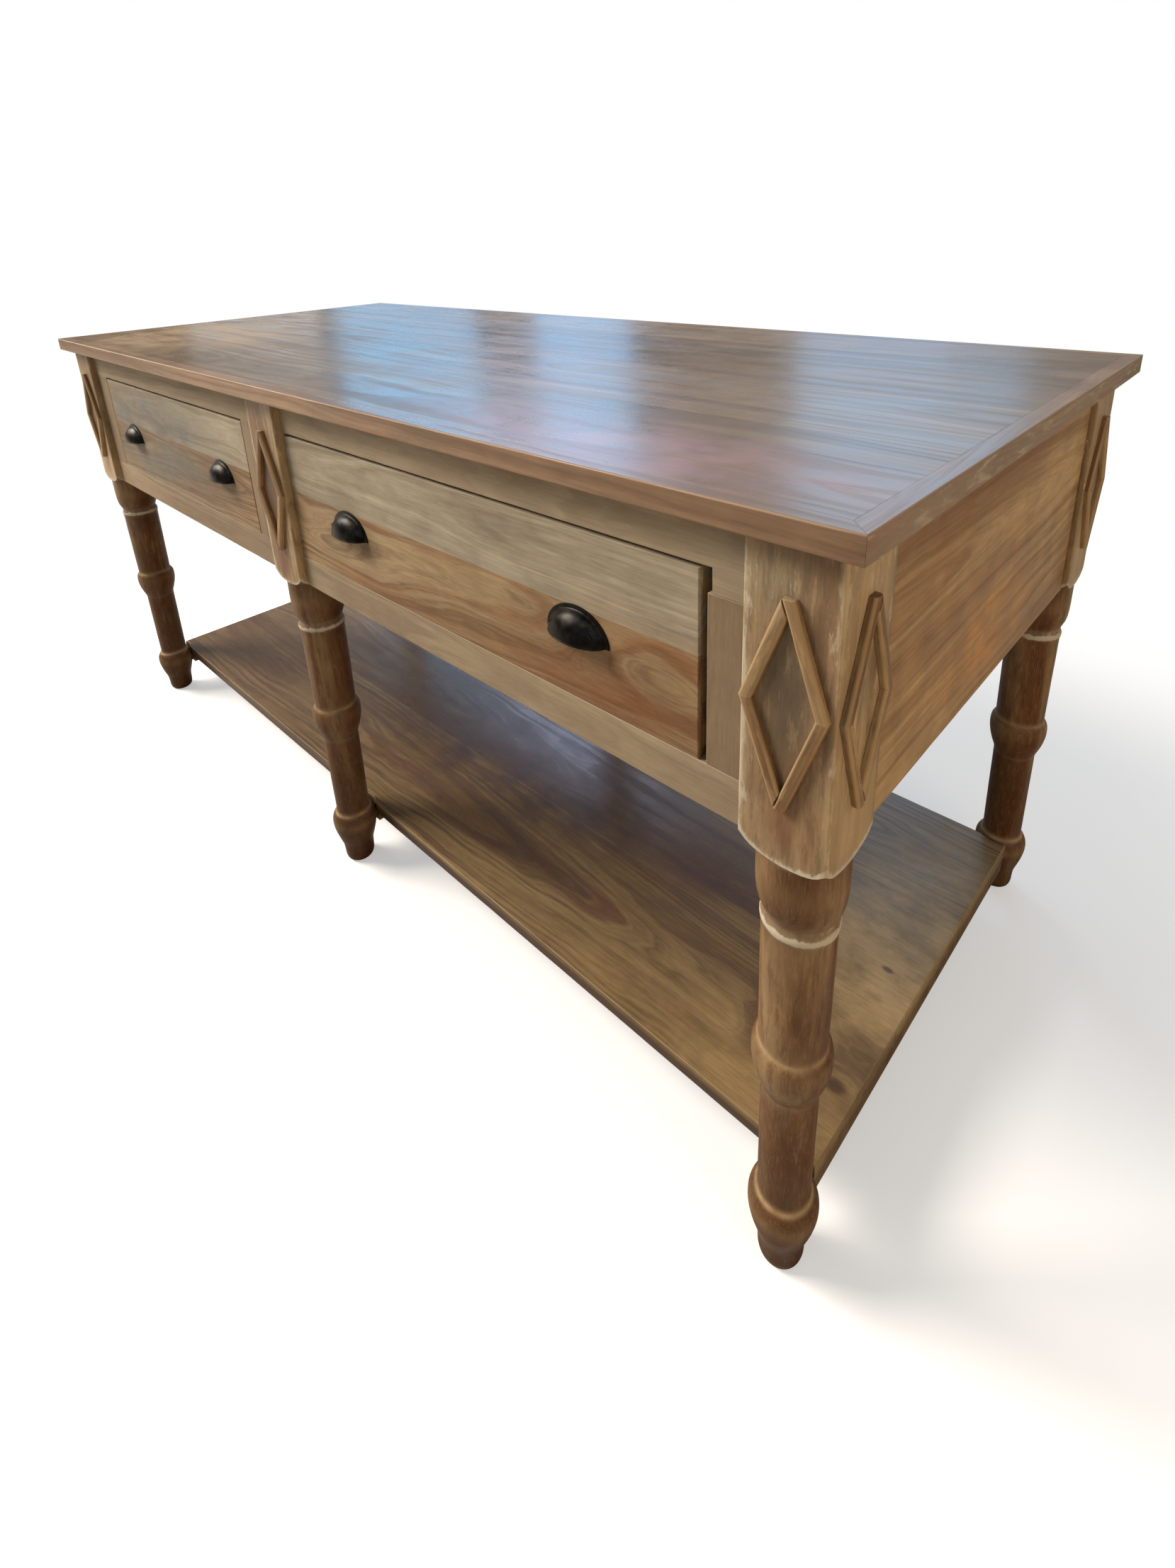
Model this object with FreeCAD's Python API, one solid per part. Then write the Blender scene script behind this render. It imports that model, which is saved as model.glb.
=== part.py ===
"""Farmhouse table with two drawers, turned legs and a low shelf.

Millimetres, +Z up. The front faces -Y. The origin is on the floor, under the
middle of the top. Each entry of NODES is written to its own STEP file.
"""
import FreeCAD
import Part
import math
import os

from FreeCAD import Matrix, Vector

# Whole table
TABLE_LENGTH = 1905.0
TABLE_DEPTH = 830.0
TABLE_HEIGHT = 900.0
OVERHANG = 22.0

# Top
TOP_THICK = 24.0
TOP_BOARDS = 4
LIP_WIDTH = 20.0
TOP_CORNER_ROUND = 4.0
TOP_EDGE_ROUND = 2.0

# Legs
LEG_SIDE = 86.0
LEG_CORNER_ROUND = 2.0
MIDDLE_LEG_SHIFT = -5.0
SHOULDER_DROP = 5.4

# Drawer frame
APRON_HEIGHT = 298.0
RAIL_RECESS = 12.0
END_RECESS = 8.0
BOARD_THICK = 20.0
TOP_RAIL_HEIGHT = 52.0
BOTTOM_RAIL_HEIGHT = 49.0
LEFT_OUTER_STILE = 61.5
LEFT_INNER_STILE = 59.0
RIGHT_STILE = 42.5
EAR_WIDTH = 37.5
EAR_HEIGHT = 24.0
TENON_THICK = 10.0
TENON_LENGTH = 25.0
TENON_SHOULDER = 10.0
STUB_LENGTH = 12.0
STUB_SHOULDER = 8.0

# Runners and kickers
GUIDE_WIDTH = 20.0
GUIDE_HEIGHT = 30.0
LEDGE_WIDTH = 20.0
LEDGE_HEIGHT = 20.0
HOUSING_CLEARANCE = 1.0
KICKER_HEIGHT = 20.0
STOP_HEIGHT = 20.0
STOP_LENGTH = 25.0

# Battens and screws
BATTEN = 25.0
SCREW_HEAD_RADIUS = 4.0
SCREW_HEAD_HEIGHT = 2.8
SCREW_SHANK_RADIUS = 2.0
SCREW_TIP_LENGTH = 4.0
SCREW_REACH = 15.0
SCREW_SLOT_WIDTH = 1.2
SCREW_SLOT_DEPTH = 1.2
COUNTERBORE_DEPTH = 3.5
COUNTERBORE_CLEARANCE = 0.6
SCREW_CLEARANCE = 0.15
PILOT_EXTRA = 1.0

# Drawers
SIDE_GAP = 2.0
RIGHT_DRAWER_SHORTFALL = 9.0
BOTTOM_GAP = 0.5
TOP_GAP = 4.0
STOP_GAP = 0.5
FRONT_EDGE_ROUND = 1.0
BOX_DEPTH = 520.0
BOX_THICK = 14.0
BOX_TOP_DROP = 2.0
BACK_TOP_DROP = 10.0
BOTTOM_THICK = 6.0
BOTTOM_RISE = 16.0
GROOVE_DEPTH = 6.0
TAIL_NARROW = 10.0
TAIL_WIDE = 12.5

# Cup pulls
PULL_WIDTH = 88.0
PULL_HEIGHT = 35.5
PULL_PROJECTION = 20.0
PULL_FLANGE_WIDTH = 4.5
PULL_WALL = 1.6
PULL_RISE = 74.0
LEFT_PULL_INSET = 115.0
RIGHT_PULL_INSET = 155.5
RIGHT_PULL_SHIFT = 5.0
POST_RADIUS = 3.8
POST_LENGTH = 14.0
POST_OFFSET = 26.0
POST_RISE = 12.0
PULL_SCREW_REACH = 7.0

# Diamonds
DIAMOND_HALF_HEIGHT = 97.0
DIAMOND_MARGIN = 1.0
STRIP_WIDTH = 11.5
STRIP_THICK = 7.0
STRIP_ROUND = 2.5

# Shelf
SHELF_TOP = 107.0
SHELF_THICK = 24.0
SHELF_END_PAST_LEG_AXIS = 17.5
SHELF_EDGE_INSIDE_LEG_AXIS = 32.4
SHELF_BOARDS = 3
SHELF_EDGE_ROUND = 1.5
NOTCH_CLEARANCE = 0.8
BEARER_WIDTH = 32.0
BEARER_CLEARANCE = 0.3
BEARER_TENON_WIDTH = 20.0
BEARER_TENON_HEIGHT = 15.0
BEARER_TENON_LENGTH = 30.0

# How far a cutting tool runs past what it cuts
OVERRUN = 2.0
# Points closer than this count as the same place
SAME_PLACE = 0.001

# Leg turning: height as a share of the turned height, radius as a share of
# half the leg's side, one row for each smooth run between two crisp edges
TURNING_SHARES = (
    ((0.0000, 0.4419), (0.0061, 0.5302), (0.0175, 0.5814), (0.0384, 0.6000),
     (0.0629, 0.6326), (0.0873, 0.7279), (0.1188, 0.8372), (0.1484, 0.8884),
     (0.1659, 0.8651), (0.1799, 0.7767), (0.1869, 0.6953)),
    ((0.1869, 0.6953), (0.1956, 0.6605)),
    ((0.1956, 0.6605), (0.4104, 0.6605)),
    ((0.4104, 0.6605), (0.4296, 0.7023), (0.4576, 0.7907), (0.5065, 0.9023),
     (0.5484, 0.9419), (0.5693, 0.8977), (0.5781, 0.8047)),
    ((0.5781, 0.8047), (0.5824, 0.7977)),
    ((0.5824, 0.7977), (0.8383, 0.8326)),
    ((0.8383, 0.8326), (0.8470, 0.8605), (0.8540, 0.8651), (0.8584, 0.8419)),
    ((0.8584, 0.8419), (0.8680, 0.8023), (0.8784, 0.8488)),
    ((0.8784, 0.8488), (0.8942, 0.9279), (0.9169, 0.9721), (0.9431, 0.9860)),
    ((0.9431, 0.9860), (1.0000, 0.9860)),
)
# Shoulder under the square block: rise and radius, both as shares of half the
# leg's side. The last radius is past the block's corners.
SHOULDER_SHARES = ((0.000, 0.986), (0.126, 1.219), (0.393, 1.442))
FOOT_RING_SHARE = 0.8884

# Height of a drawer front's lower board as a share of the whole front
LOWER_FRONT_SHARE = 0.558
# Dovetail centres up a drawer side, and up its back
FRONT_TAIL_SHARES = (0.11, 0.36, 0.60, 0.88)
BACK_TAIL_SHARES = (0.15, 0.50, 0.85)
# Screw places along a lengthwise batten, and along a crosswise one
LENGTHWISE_SCREW_SHARES = (0.10, 0.50, 0.90)
CROSSWISE_SCREW_SHARES = (0.12, 0.38, 0.62, 0.88)
# Screw places across each shelf board
SHELF_SCREW_SHARES = (0.20, 0.80)

# Derived places
HALF_LENGTH = TABLE_LENGTH / 2
HALF_DEPTH = TABLE_DEPTH / 2
HALF_LEG = LEG_SIDE / 2
UNDERSIDE = TABLE_HEIGHT - TOP_THICK
APRON_BOTTOM = UNDERSIDE - APRON_HEIGHT
TURNED_HEIGHT = APRON_BOTTOM - SHOULDER_DROP
LEG_X = HALF_LENGTH - OVERHANG - HALF_LEG
LEG_Y = HALF_DEPTH - OVERHANG - HALF_LEG
LEG_PLACES = {"left": -LEG_X, "middle": MIDDLE_LEG_SHIFT, "right": LEG_X}
FRONT_Y = -HALF_DEPTH + OVERHANG + RAIL_RECESS
RAIL_BACK_Y = FRONT_Y + BOARD_THICK
END_X = HALF_LENGTH - OVERHANG - END_RECESS
BLOCK_INSIDE_Y = LEG_Y - HALF_LEG
OPEN_BOTTOM = APRON_BOTTOM + BOTTOM_RAIL_HEIGHT
OPEN_TOP = UNDERSIDE - TOP_RAIL_HEIGHT
FRONT_BOTTOM = OPEN_BOTTOM + BOTTOM_GAP
FRONT_TOP = OPEN_TOP - TOP_GAP
BAYS = {
    "left": (-LEG_X + HALF_LEG, MIDDLE_LEG_SHIFT - HALF_LEG),
    "right": (MIDDLE_LEG_SHIFT + HALF_LEG, LEG_X - HALF_LEG),
}
OPENINGS = {
    "left": (BAYS["left"][0] + LEFT_OUTER_STILE, BAYS["left"][1] - LEFT_INNER_STILE),
    "right": (BAYS["right"][0], BAYS["right"][1] - RIGHT_STILE),
}
DRAWERS = {
    "left": (OPENINGS["left"][0] + SIDE_GAP, OPENINGS["left"][1] - SIDE_GAP),
    "right": (OPENINGS["right"][0] + SIDE_GAP, OPENINGS["right"][1] - RIGHT_DRAWER_SHORTFALL),
}
HOUSING_DEPTH = (BOARD_THICK - TENON_THICK) / 2 - HOUSING_CLEARANCE
SHELF_BOTTOM = SHELF_TOP - SHELF_THICK
SHELF_HALF_LENGTH = LEG_X + SHELF_END_PAST_LEG_AXIS
SHELF_HALF_DEPTH = LEG_Y - SHELF_EDGE_INSIDE_LEG_AXIS
FOOT_RING_RADIUS = HALF_LEG * FOOT_RING_SHARE
SCREW_LENGTH = BATTEN - COUNTERBORE_DEPTH + SCREW_REACH

NODES = {}


def bar(x0, x1, y0, y1, z0, z1):
    """Box between two opposite corners."""
    return Part.makeBox(x1 - x0, y1 - y0, z1 - z0, Vector(x0, y0, z0))


def only(shape):
    """The single solid of a result."""
    if len(shape.Solids) != 1:
        raise ValueError("expected one solid, got %d" % len(shape.Solids))
    return shape.Solids[0]


def joined(shapes):
    """Union of touching shapes, without leftover seams."""
    return only(shapes[0].multiFuse(shapes[1:]).removeSplitter())


def without(shape, tools):
    """The shape with every tool that reaches it cut away."""
    for tool in tools:
        if shape.BoundBox.intersect(tool.BoundBox):
            shape = only(shape.cut(tool))
    return shape


def prism(points, height):
    """Upright prism on a flat outline."""
    outline = Part.makePolygon(points + points[:1])
    return Part.Face(outline).extrude(Vector(0, 0, height))


def edges_at(shape, axis, value):
    """Edges that lie wholly in one plane across an axis."""
    return [edge for edge in shape.Edges
            if all(abs(vertex.Point[axis] - value) < SAME_PLACE for vertex in edge.Vertexes)]


def rounded_slab(x0, x1, y0, y1, z0, z1, corner, edge):
    """Board with rounded upright corners and rounded long edges."""
    slab = bar(x0, x1, y0, y1, z0, z1)
    upright = [e for e in slab.Edges if abs(e.tangentAt(e.FirstParameter).z) > 0.5]
    slab = slab.makeFillet(corner, upright)
    return slab.makeFillet(edge, edges_at(slab, 2, z0) + edges_at(slab, 2, z1))


def tenoned(x0, x1, y0, y1, z0, z1, along):
    """Board with a tenon on both ends along X or Y."""
    low = z0 + TENON_SHOULDER
    high = z1 - TENON_SHOULDER
    if along == "x":
        side = (y0 + y1 - TENON_THICK) / 2
        core = bar(x0 - TENON_LENGTH, x1 + TENON_LENGTH, side, side + TENON_THICK, low, high)
    else:
        side = (x0 + x1 - TENON_THICK) / 2
        core = bar(side, side + TENON_THICK, y0 - TENON_LENGTH, y1 + TENON_LENGTH, low, high)
    return joined([bar(x0, x1, y0, y1, z0, z1), core])


# Legs


def turning_wire():
    """Half outline of the leg, closed on its axis."""
    runs = [[(share_z * TURNED_HEIGHT, share_r * HALF_LEG) for share_z, share_r in run]
            for run in TURNING_SHARES]
    runs.append([(TURNED_HEIGHT + share_z * HALF_LEG, share_r * HALF_LEG)
                 for share_z, share_r in SHOULDER_SHARES])
    edges = []
    for run in runs:
        points = [Vector(radius, 0, height) for height, radius in run]
        if len(points) == 2:
            edges.append(Part.makeLine(points[0], points[1]))
        else:
            spline = Part.BSplineCurve()
            spline.interpolate(points)
            edges.append(spline.toShape())
    top_height, top_radius = runs[-1][-1]
    foot_radius = runs[0][0][1]
    corners = [
        Vector(top_radius, 0, top_height),
        Vector(top_radius, 0, UNDERSIDE),
        Vector(0, 0, UNDERSIDE),
        Vector(0, 0, 0),
        Vector(foot_radius, 0, 0),
    ]
    for start, end in zip(corners, corners[1:]):
        edges.append(Part.makeLine(start, end))
    return Part.Wire(edges)


def leg_blank():
    """One leg on the origin: a square block over a turned shaft."""
    round_leg = Part.Face(turning_wire()).revolve(Vector(0, 0, 0), Vector(0, 0, 1), 360)
    square = bar(-HALF_LEG, HALF_LEG, -HALF_LEG, HALF_LEG, 0, UNDERSIDE)
    upright = [e for e in square.Edges if abs(e.tangentAt(e.FirstParameter).z) > 0.5]
    square = square.makeFillet(LEG_CORNER_ROUND, upright)
    return only(round_leg.common(square))


def leg_blocks():
    """Plain boxes where the legs' square blocks stand."""
    boxes = []
    for x in LEG_PLACES.values():
        for y in (-LEG_Y, LEG_Y):
            boxes.append(bar(x - HALF_LEG, x + HALF_LEG, y - HALF_LEG, y + HALF_LEG,
                             APRON_BOTTOM, UNDERSIDE))
    return boxes


# Diamonds


def diamond_strips():
    """Four mitred strips on the front face of a leg on the origin."""
    half_width = HALF_LEG - DIAMOND_MARGIN
    half_height = DIAMOND_HALF_HEIGHT
    slope = math.hypot(half_width, half_height)
    inner_width = half_width - STRIP_WIDTH * slope / half_height
    inner_height = half_height - STRIP_WIDTH * slope / half_width
    middle = (APRON_BOTTOM + UNDERSIDE) / 2
    front = -HALF_LEG - STRIP_THICK
    strips = []
    for side in (-1, 1):
        for rise in (-1, 1):
            flat = [(0, half_height), (half_width, 0), (inner_width, 0), (0, inner_height)]
            points = [Vector(side * a, front, middle + rise * b) for a, b in flat]
            face = Part.Face(Part.makePolygon(points + points[:1]))
            strip = face.extrude(Vector(0, STRIP_THICK, 0))
            long_edges = []
            for edge in edges_at(strip, 1, front):
                start, end = (vertex.Point for vertex in edge.Vertexes)
                if abs(start.x - end.x) > STRIP_THICK and abs(start.z - end.z) > STRIP_THICK:
                    long_edges.append(edge)
            strips.append(only(strip.makeFillet(STRIP_ROUND, long_edges)))
    return strips


def diamond_set(places):
    """Diamond strips on several legs: (x, y, turn about the leg) each."""
    solids = []
    for x, y, turn in places:
        for strip in diamond_strips():
            strip.rotate(Vector(0, 0, 0), Vector(0, 0, 1), turn)
            strip.translate(Vector(x, y, 0))
            solids.append(strip)
    return solids


# Top


def top_lip(corners):
    """One mitred lip, cut from the rounded outline of the whole top."""
    slab = rounded_slab(-HALF_LENGTH, HALF_LENGTH, -HALF_DEPTH, HALF_DEPTH, UNDERSIDE, TABLE_HEIGHT,
                        TOP_CORNER_ROUND, TOP_EDGE_ROUND)
    points = [Vector(x, y, UNDERSIDE) for x, y in corners]
    return only(slab.common(prism(points, TOP_THICK)))


def top_boards():
    """Lengthwise boards inside the lips."""
    x = HALF_LENGTH - LIP_WIDTH
    width = (TABLE_DEPTH - 2 * LIP_WIDTH) / TOP_BOARDS
    start = -HALF_DEPTH + LIP_WIDTH
    return [bar(-x, x, start + i * width, start + (i + 1) * width, UNDERSIDE, TABLE_HEIGHT)
            for i in range(TOP_BOARDS)]


def top_lips():
    """Front, back, left and right lips."""
    x, y = HALF_LENGTH, HALF_DEPTH
    a, b = x - LIP_WIDTH, y - LIP_WIDTH
    return {
        "front": top_lip([(-x, -y), (x, -y), (a, -b), (-a, -b)]),
        "back": top_lip([(-x, y), (-a, b), (a, b), (x, y)]),
        "left": top_lip([(-x, -y), (-a, -b), (-a, b), (-x, y)]),
        "right": top_lip([(x, -y), (x, y), (a, b), (a, -b)]),
    }


# Screws


def wood_screw(x, y, seat):
    """Pan-head screw pointing up, its head just under the seat height."""
    shank_length = SCREW_LENGTH - SCREW_TIP_LENGTH
    head = Part.makeCylinder(SCREW_HEAD_RADIUS, SCREW_HEAD_HEIGHT,
                             Vector(x, y, seat - SCREW_HEAD_HEIGHT))
    slot = bar(x - SCREW_HEAD_RADIUS, x + SCREW_HEAD_RADIUS,
               y - SCREW_SLOT_WIDTH / 2, y + SCREW_SLOT_WIDTH / 2,
               seat - SCREW_HEAD_HEIGHT, seat - SCREW_HEAD_HEIGHT + SCREW_SLOT_DEPTH)
    shank = Part.makeCylinder(SCREW_SHANK_RADIUS, shank_length, Vector(x, y, seat))
    tip = Part.makeCone(SCREW_SHANK_RADIUS, 0, SCREW_TIP_LENGTH,
                        Vector(x, y, seat + shank_length))
    return joined([head.cut(slot), shank, tip])


def wood_screw_hole(x, y, seat):
    """Clearance hole and counterbore for a wood screw."""
    bore = Part.makeCylinder(SCREW_SHANK_RADIUS + SCREW_CLEARANCE, SCREW_LENGTH + PILOT_EXTRA,
                             Vector(x, y, seat))
    mouth = Part.makeCylinder(SCREW_HEAD_RADIUS + COUNTERBORE_CLEARANCE,
                              COUNTERBORE_DEPTH + OVERRUN,
                              Vector(x, y, seat - COUNTERBORE_DEPTH - OVERRUN))
    return joined([bore, mouth])


def top_battens():
    """Square battens inside the apron, and the screw places in them."""
    inner_x = END_X - BOARD_THICK
    low = UNDERSIDE - BATTEN
    battens = []
    places = []
    for x0, x1 in BAYS.values():
        for y0 in (RAIL_BACK_Y, -RAIL_BACK_Y - BATTEN):
            battens.append(bar(x0, x1, y0, y0 + BATTEN, low, UNDERSIDE))
            for share in LENGTHWISE_SCREW_SHARES:
                places.append((x0 + share * (x1 - x0), y0 + BATTEN / 2))
    partition_left = MIDDLE_LEG_SHIFT - BOARD_THICK / 2
    partition_right = MIDDLE_LEG_SHIFT + BOARD_THICK / 2
    for x0 in (-inner_x, inner_x - BATTEN, partition_left - BATTEN, partition_right):
        battens.append(bar(x0, x0 + BATTEN, -BLOCK_INSIDE_Y, BLOCK_INSIDE_Y, low, UNDERSIDE))
        for share in CROSSWISE_SCREW_SHARES:
            places.append((x0 + BATTEN / 2, (2 * share - 1) * BLOCK_INSIDE_Y))
    return battens, places


# Drawer runners and kickers


def runner(face_x, outward):
    """Ledge under a drawer side with a guide beside it."""
    guide_x = sorted((face_x, face_x + outward * GUIDE_WIDTH))
    ledge_x = sorted((face_x + outward * GUIDE_WIDTH, face_x - outward * LEDGE_WIDTH))
    reach = -RAIL_BACK_Y + HOUSING_DEPTH
    ledge = bar(ledge_x[0], ledge_x[1], -reach, reach, OPEN_BOTTOM - LEDGE_HEIGHT, OPEN_BOTTOM)
    guide = bar(guide_x[0], guide_x[1], RAIL_BACK_Y, -RAIL_BACK_Y,
                OPEN_BOTTOM, OPEN_BOTTOM + GUIDE_HEIGHT)
    return without(joined([ledge, guide]), leg_blocks())


def kicker(face_x, outward):
    """Strip over a drawer side that keeps it from tipping."""
    x0, x1 = sorted((face_x + outward * GUIDE_WIDTH, face_x - outward * LEDGE_WIDTH))
    reach = -RAIL_BACK_Y + HOUSING_DEPTH
    strip = bar(x0, x1, -reach, reach, OPEN_TOP, OPEN_TOP + KICKER_HEIGHT)
    return without(strip, leg_blocks())


def drawer_stop(face_x, outward):
    """Block behind a closed drawer side, glued on the ledge."""
    x0, x1 = sorted((face_x, face_x - outward * LEDGE_WIDTH))
    y0 = RAIL_BACK_Y + BOX_DEPTH + STOP_GAP
    return bar(x0, x1, y0, y0 + STOP_LENGTH, OPEN_BOTTOM, OPEN_BOTTOM + STOP_HEIGHT)


# Drawers


def tails(x0, x1, root_y, tip_y, z0, z1, shares):
    """Dovetails across a thickness, narrow at the root and wide at the tip."""
    solids = []
    for share in shares:
        z = z0 + share * (z1 - z0)
        outline = [
            Vector(x0, root_y, z - TAIL_NARROW),
            Vector(x0, tip_y, z - TAIL_WIDE),
            Vector(x0, tip_y, z + TAIL_WIDE),
            Vector(x0, root_y, z + TAIL_NARROW),
        ]
        face = Part.Face(Part.makePolygon(outline + outline[:1]))
        solids.append(face.extrude(Vector(x1 - x0, 0, 0)))
    return solids


def pull_screw(x, z):
    """Pan-head machine screw from inside the drawer into a pull's post."""
    length = BOARD_THICK + PULL_SCREW_REACH
    outward = Vector(0, -1, 0)
    inside_y = RAIL_BACK_Y + SCREW_HEAD_HEIGHT
    head = Part.makeCylinder(SCREW_HEAD_RADIUS, SCREW_HEAD_HEIGHT, Vector(x, inside_y, z), outward)
    slot = bar(x - SCREW_HEAD_RADIUS, x + SCREW_HEAD_RADIUS, inside_y - SCREW_SLOT_DEPTH, inside_y,
               z - SCREW_SLOT_WIDTH / 2, z + SCREW_SLOT_WIDTH / 2)
    shank = Part.makeCylinder(SCREW_SHANK_RADIUS, length, Vector(x, RAIL_BACK_Y, z), outward)
    return joined([head.cut(slot), shank])


def pull_screw_hole(x, z):
    """Clearance hole for a pull screw through the front and into the post."""
    return Part.makeCylinder(SCREW_SHANK_RADIUS + SCREW_CLEARANCE,
                             OVERRUN + BOARD_THICK + PULL_SCREW_REACH + PILOT_EXTRA,
                             Vector(x, RAIL_BACK_Y + OVERRUN, z), Vector(0, -1, 0))


def half_ellipsoid(radius_x, radius_y, radius_z):
    """Ellipsoid on the origin, only its front upper quarter."""
    stretch = Matrix()
    stretch.scale(radius_x, radius_y, radius_z)
    ball = Part.makeSphere(1.0).transformGeometry(stretch)
    quarter = bar(-radius_x - OVERRUN, radius_x + OVERRUN, -radius_y - OVERRUN, 0,
                  0, radius_z + OVERRUN)
    return only(ball.common(quarter))


def half_ellipse_plate(radius_x, radius_z, front, back):
    """Upright plate with a half-ellipse outline between two Y planes."""
    centre = Vector(0, back, 0)
    if radius_x > radius_z:
        curve = Part.Ellipse(centre + Vector(radius_x, 0, 0), centre + Vector(0, 0, radius_z),
                             centre)
    else:
        curve = Part.Ellipse(centre + Vector(0, 0, radius_z), centre + Vector(radius_x, 0, 0),
                             centre)
    plate = Part.Face(Part.Wire(curve.toShape())).extrude(Vector(0, front - back, 0))
    upper = bar(-radius_x - OVERRUN, radius_x + OVERRUN, front, back, 0, radius_z + OVERRUN)
    return only(plate.common(upper))


def cup_pull(x, z):
    """Open-bottomed cup with a thin flange and two screw posts."""
    half = PULL_WIDTH / 2
    dome_x = half - PULL_FLANGE_WIDTH
    dome_z = PULL_HEIGHT - PULL_FLANGE_WIDTH
    outer = half_ellipsoid(dome_x, PULL_PROJECTION, dome_z)
    inner = half_ellipsoid(dome_x - PULL_WALL, PULL_PROJECTION - PULL_WALL, dome_z - PULL_WALL)
    flange = half_ellipse_plate(half, PULL_HEIGHT, -PULL_WALL, 0)
    shell = only(joined([outer, flange]).cut(inner))
    posts = []
    for side in (-1, 1):
        post = Part.makeCylinder(POST_RADIUS, POST_LENGTH,
                                 Vector(side * POST_OFFSET, 0, POST_RISE), Vector(0, -1, 0))
        posts.append(only(post.common(outer)))
    pull = joined([shell] + posts)
    pull.translate(Vector(x, FRONT_Y, z))
    return pull


def build_drawer(side, x0, x1, pull_inset, pull_shift):
    """All pieces of one drawer, keyed by node name."""
    name = "drawer_%s_" % side
    back_y = RAIL_BACK_Y + BOX_DEPTH
    box_top = FRONT_TOP - BOX_TOP_DROP
    panel_z = FRONT_BOTTOM + BOTTOM_RISE
    panel_top = panel_z + BOTTOM_THICK
    inset = BOX_THICK - GROOVE_DEPTH
    panel = bar(x0 + inset, x1 - inset, RAIL_BACK_Y - GROOVE_DEPTH, back_y, panel_z, panel_top)

    sides = {}
    for label, a, b in (("left", x0, x0 + BOX_THICK), ("right", x1 - BOX_THICK, x1)):
        pieces = [bar(a, b, RAIL_BACK_Y, back_y - BOX_THICK, FRONT_BOTTOM, box_top)]
        pieces.append(bar(a, b, back_y - BOX_THICK, back_y, FRONT_BOTTOM, panel_top))
        pieces += tails(a, b, RAIL_BACK_Y, RAIL_BACK_Y - BOX_THICK, FRONT_BOTTOM, box_top,
                        FRONT_TAIL_SHARES)
        pieces += tails(a, b, back_y - BOX_THICK, back_y, panel_top, box_top - BACK_TOP_DROP,
                        BACK_TAIL_SHARES)
        sides[label] = without(joined(pieces), [panel])

    back = bar(x0, x1, back_y - BOX_THICK, back_y, panel_top, box_top - BACK_TOP_DROP)
    back = without(back, sides.values())

    pull_z = FRONT_BOTTOM + PULL_RISE
    pull_places = [x0 + pull_inset + pull_shift, x1 - pull_inset + pull_shift]
    screw_places = [(pull_x + sign * POST_OFFSET, pull_z + POST_RISE)
                    for pull_x in pull_places for sign in (-1, 1)]
    holes = [pull_screw_hole(x, z) for x, z in screw_places]

    front = bar(x0, x1, FRONT_Y, RAIL_BACK_Y, FRONT_BOTTOM, FRONT_TOP)
    front = front.makeFillet(FRONT_EDGE_ROUND, edges_at(front, 1, FRONT_Y))
    split = FRONT_BOTTOM + LOWER_FRONT_SHARE * (FRONT_TOP - FRONT_BOTTOM)
    lower = only(front.common(bar(x0, x1, FRONT_Y, RAIL_BACK_Y, FRONT_BOTTOM, split)))
    upper = only(front.common(bar(x0, x1, FRONT_Y, RAIL_BACK_Y, split, FRONT_TOP)))
    tools = list(sides.values()) + [panel] + holes

    NODES[name + "front_lower"] = [without(lower, tools)]
    NODES[name + "front_upper"] = [without(upper, tools)]
    NODES[name + "side_left"] = [sides["left"]]
    NODES[name + "side_right"] = [sides["right"]]
    NODES[name + "back"] = [back]
    NODES[name + "bottom"] = [panel]
    for label, pull_x in zip(("left", "right"), pull_places):
        NODES[name + "pull_" + label] = [without(cup_pull(pull_x, pull_z), holes)]
    NODES[name + "pull_screws"] = [pull_screw(x, z) for x, z in screw_places]


# Frame


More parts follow.
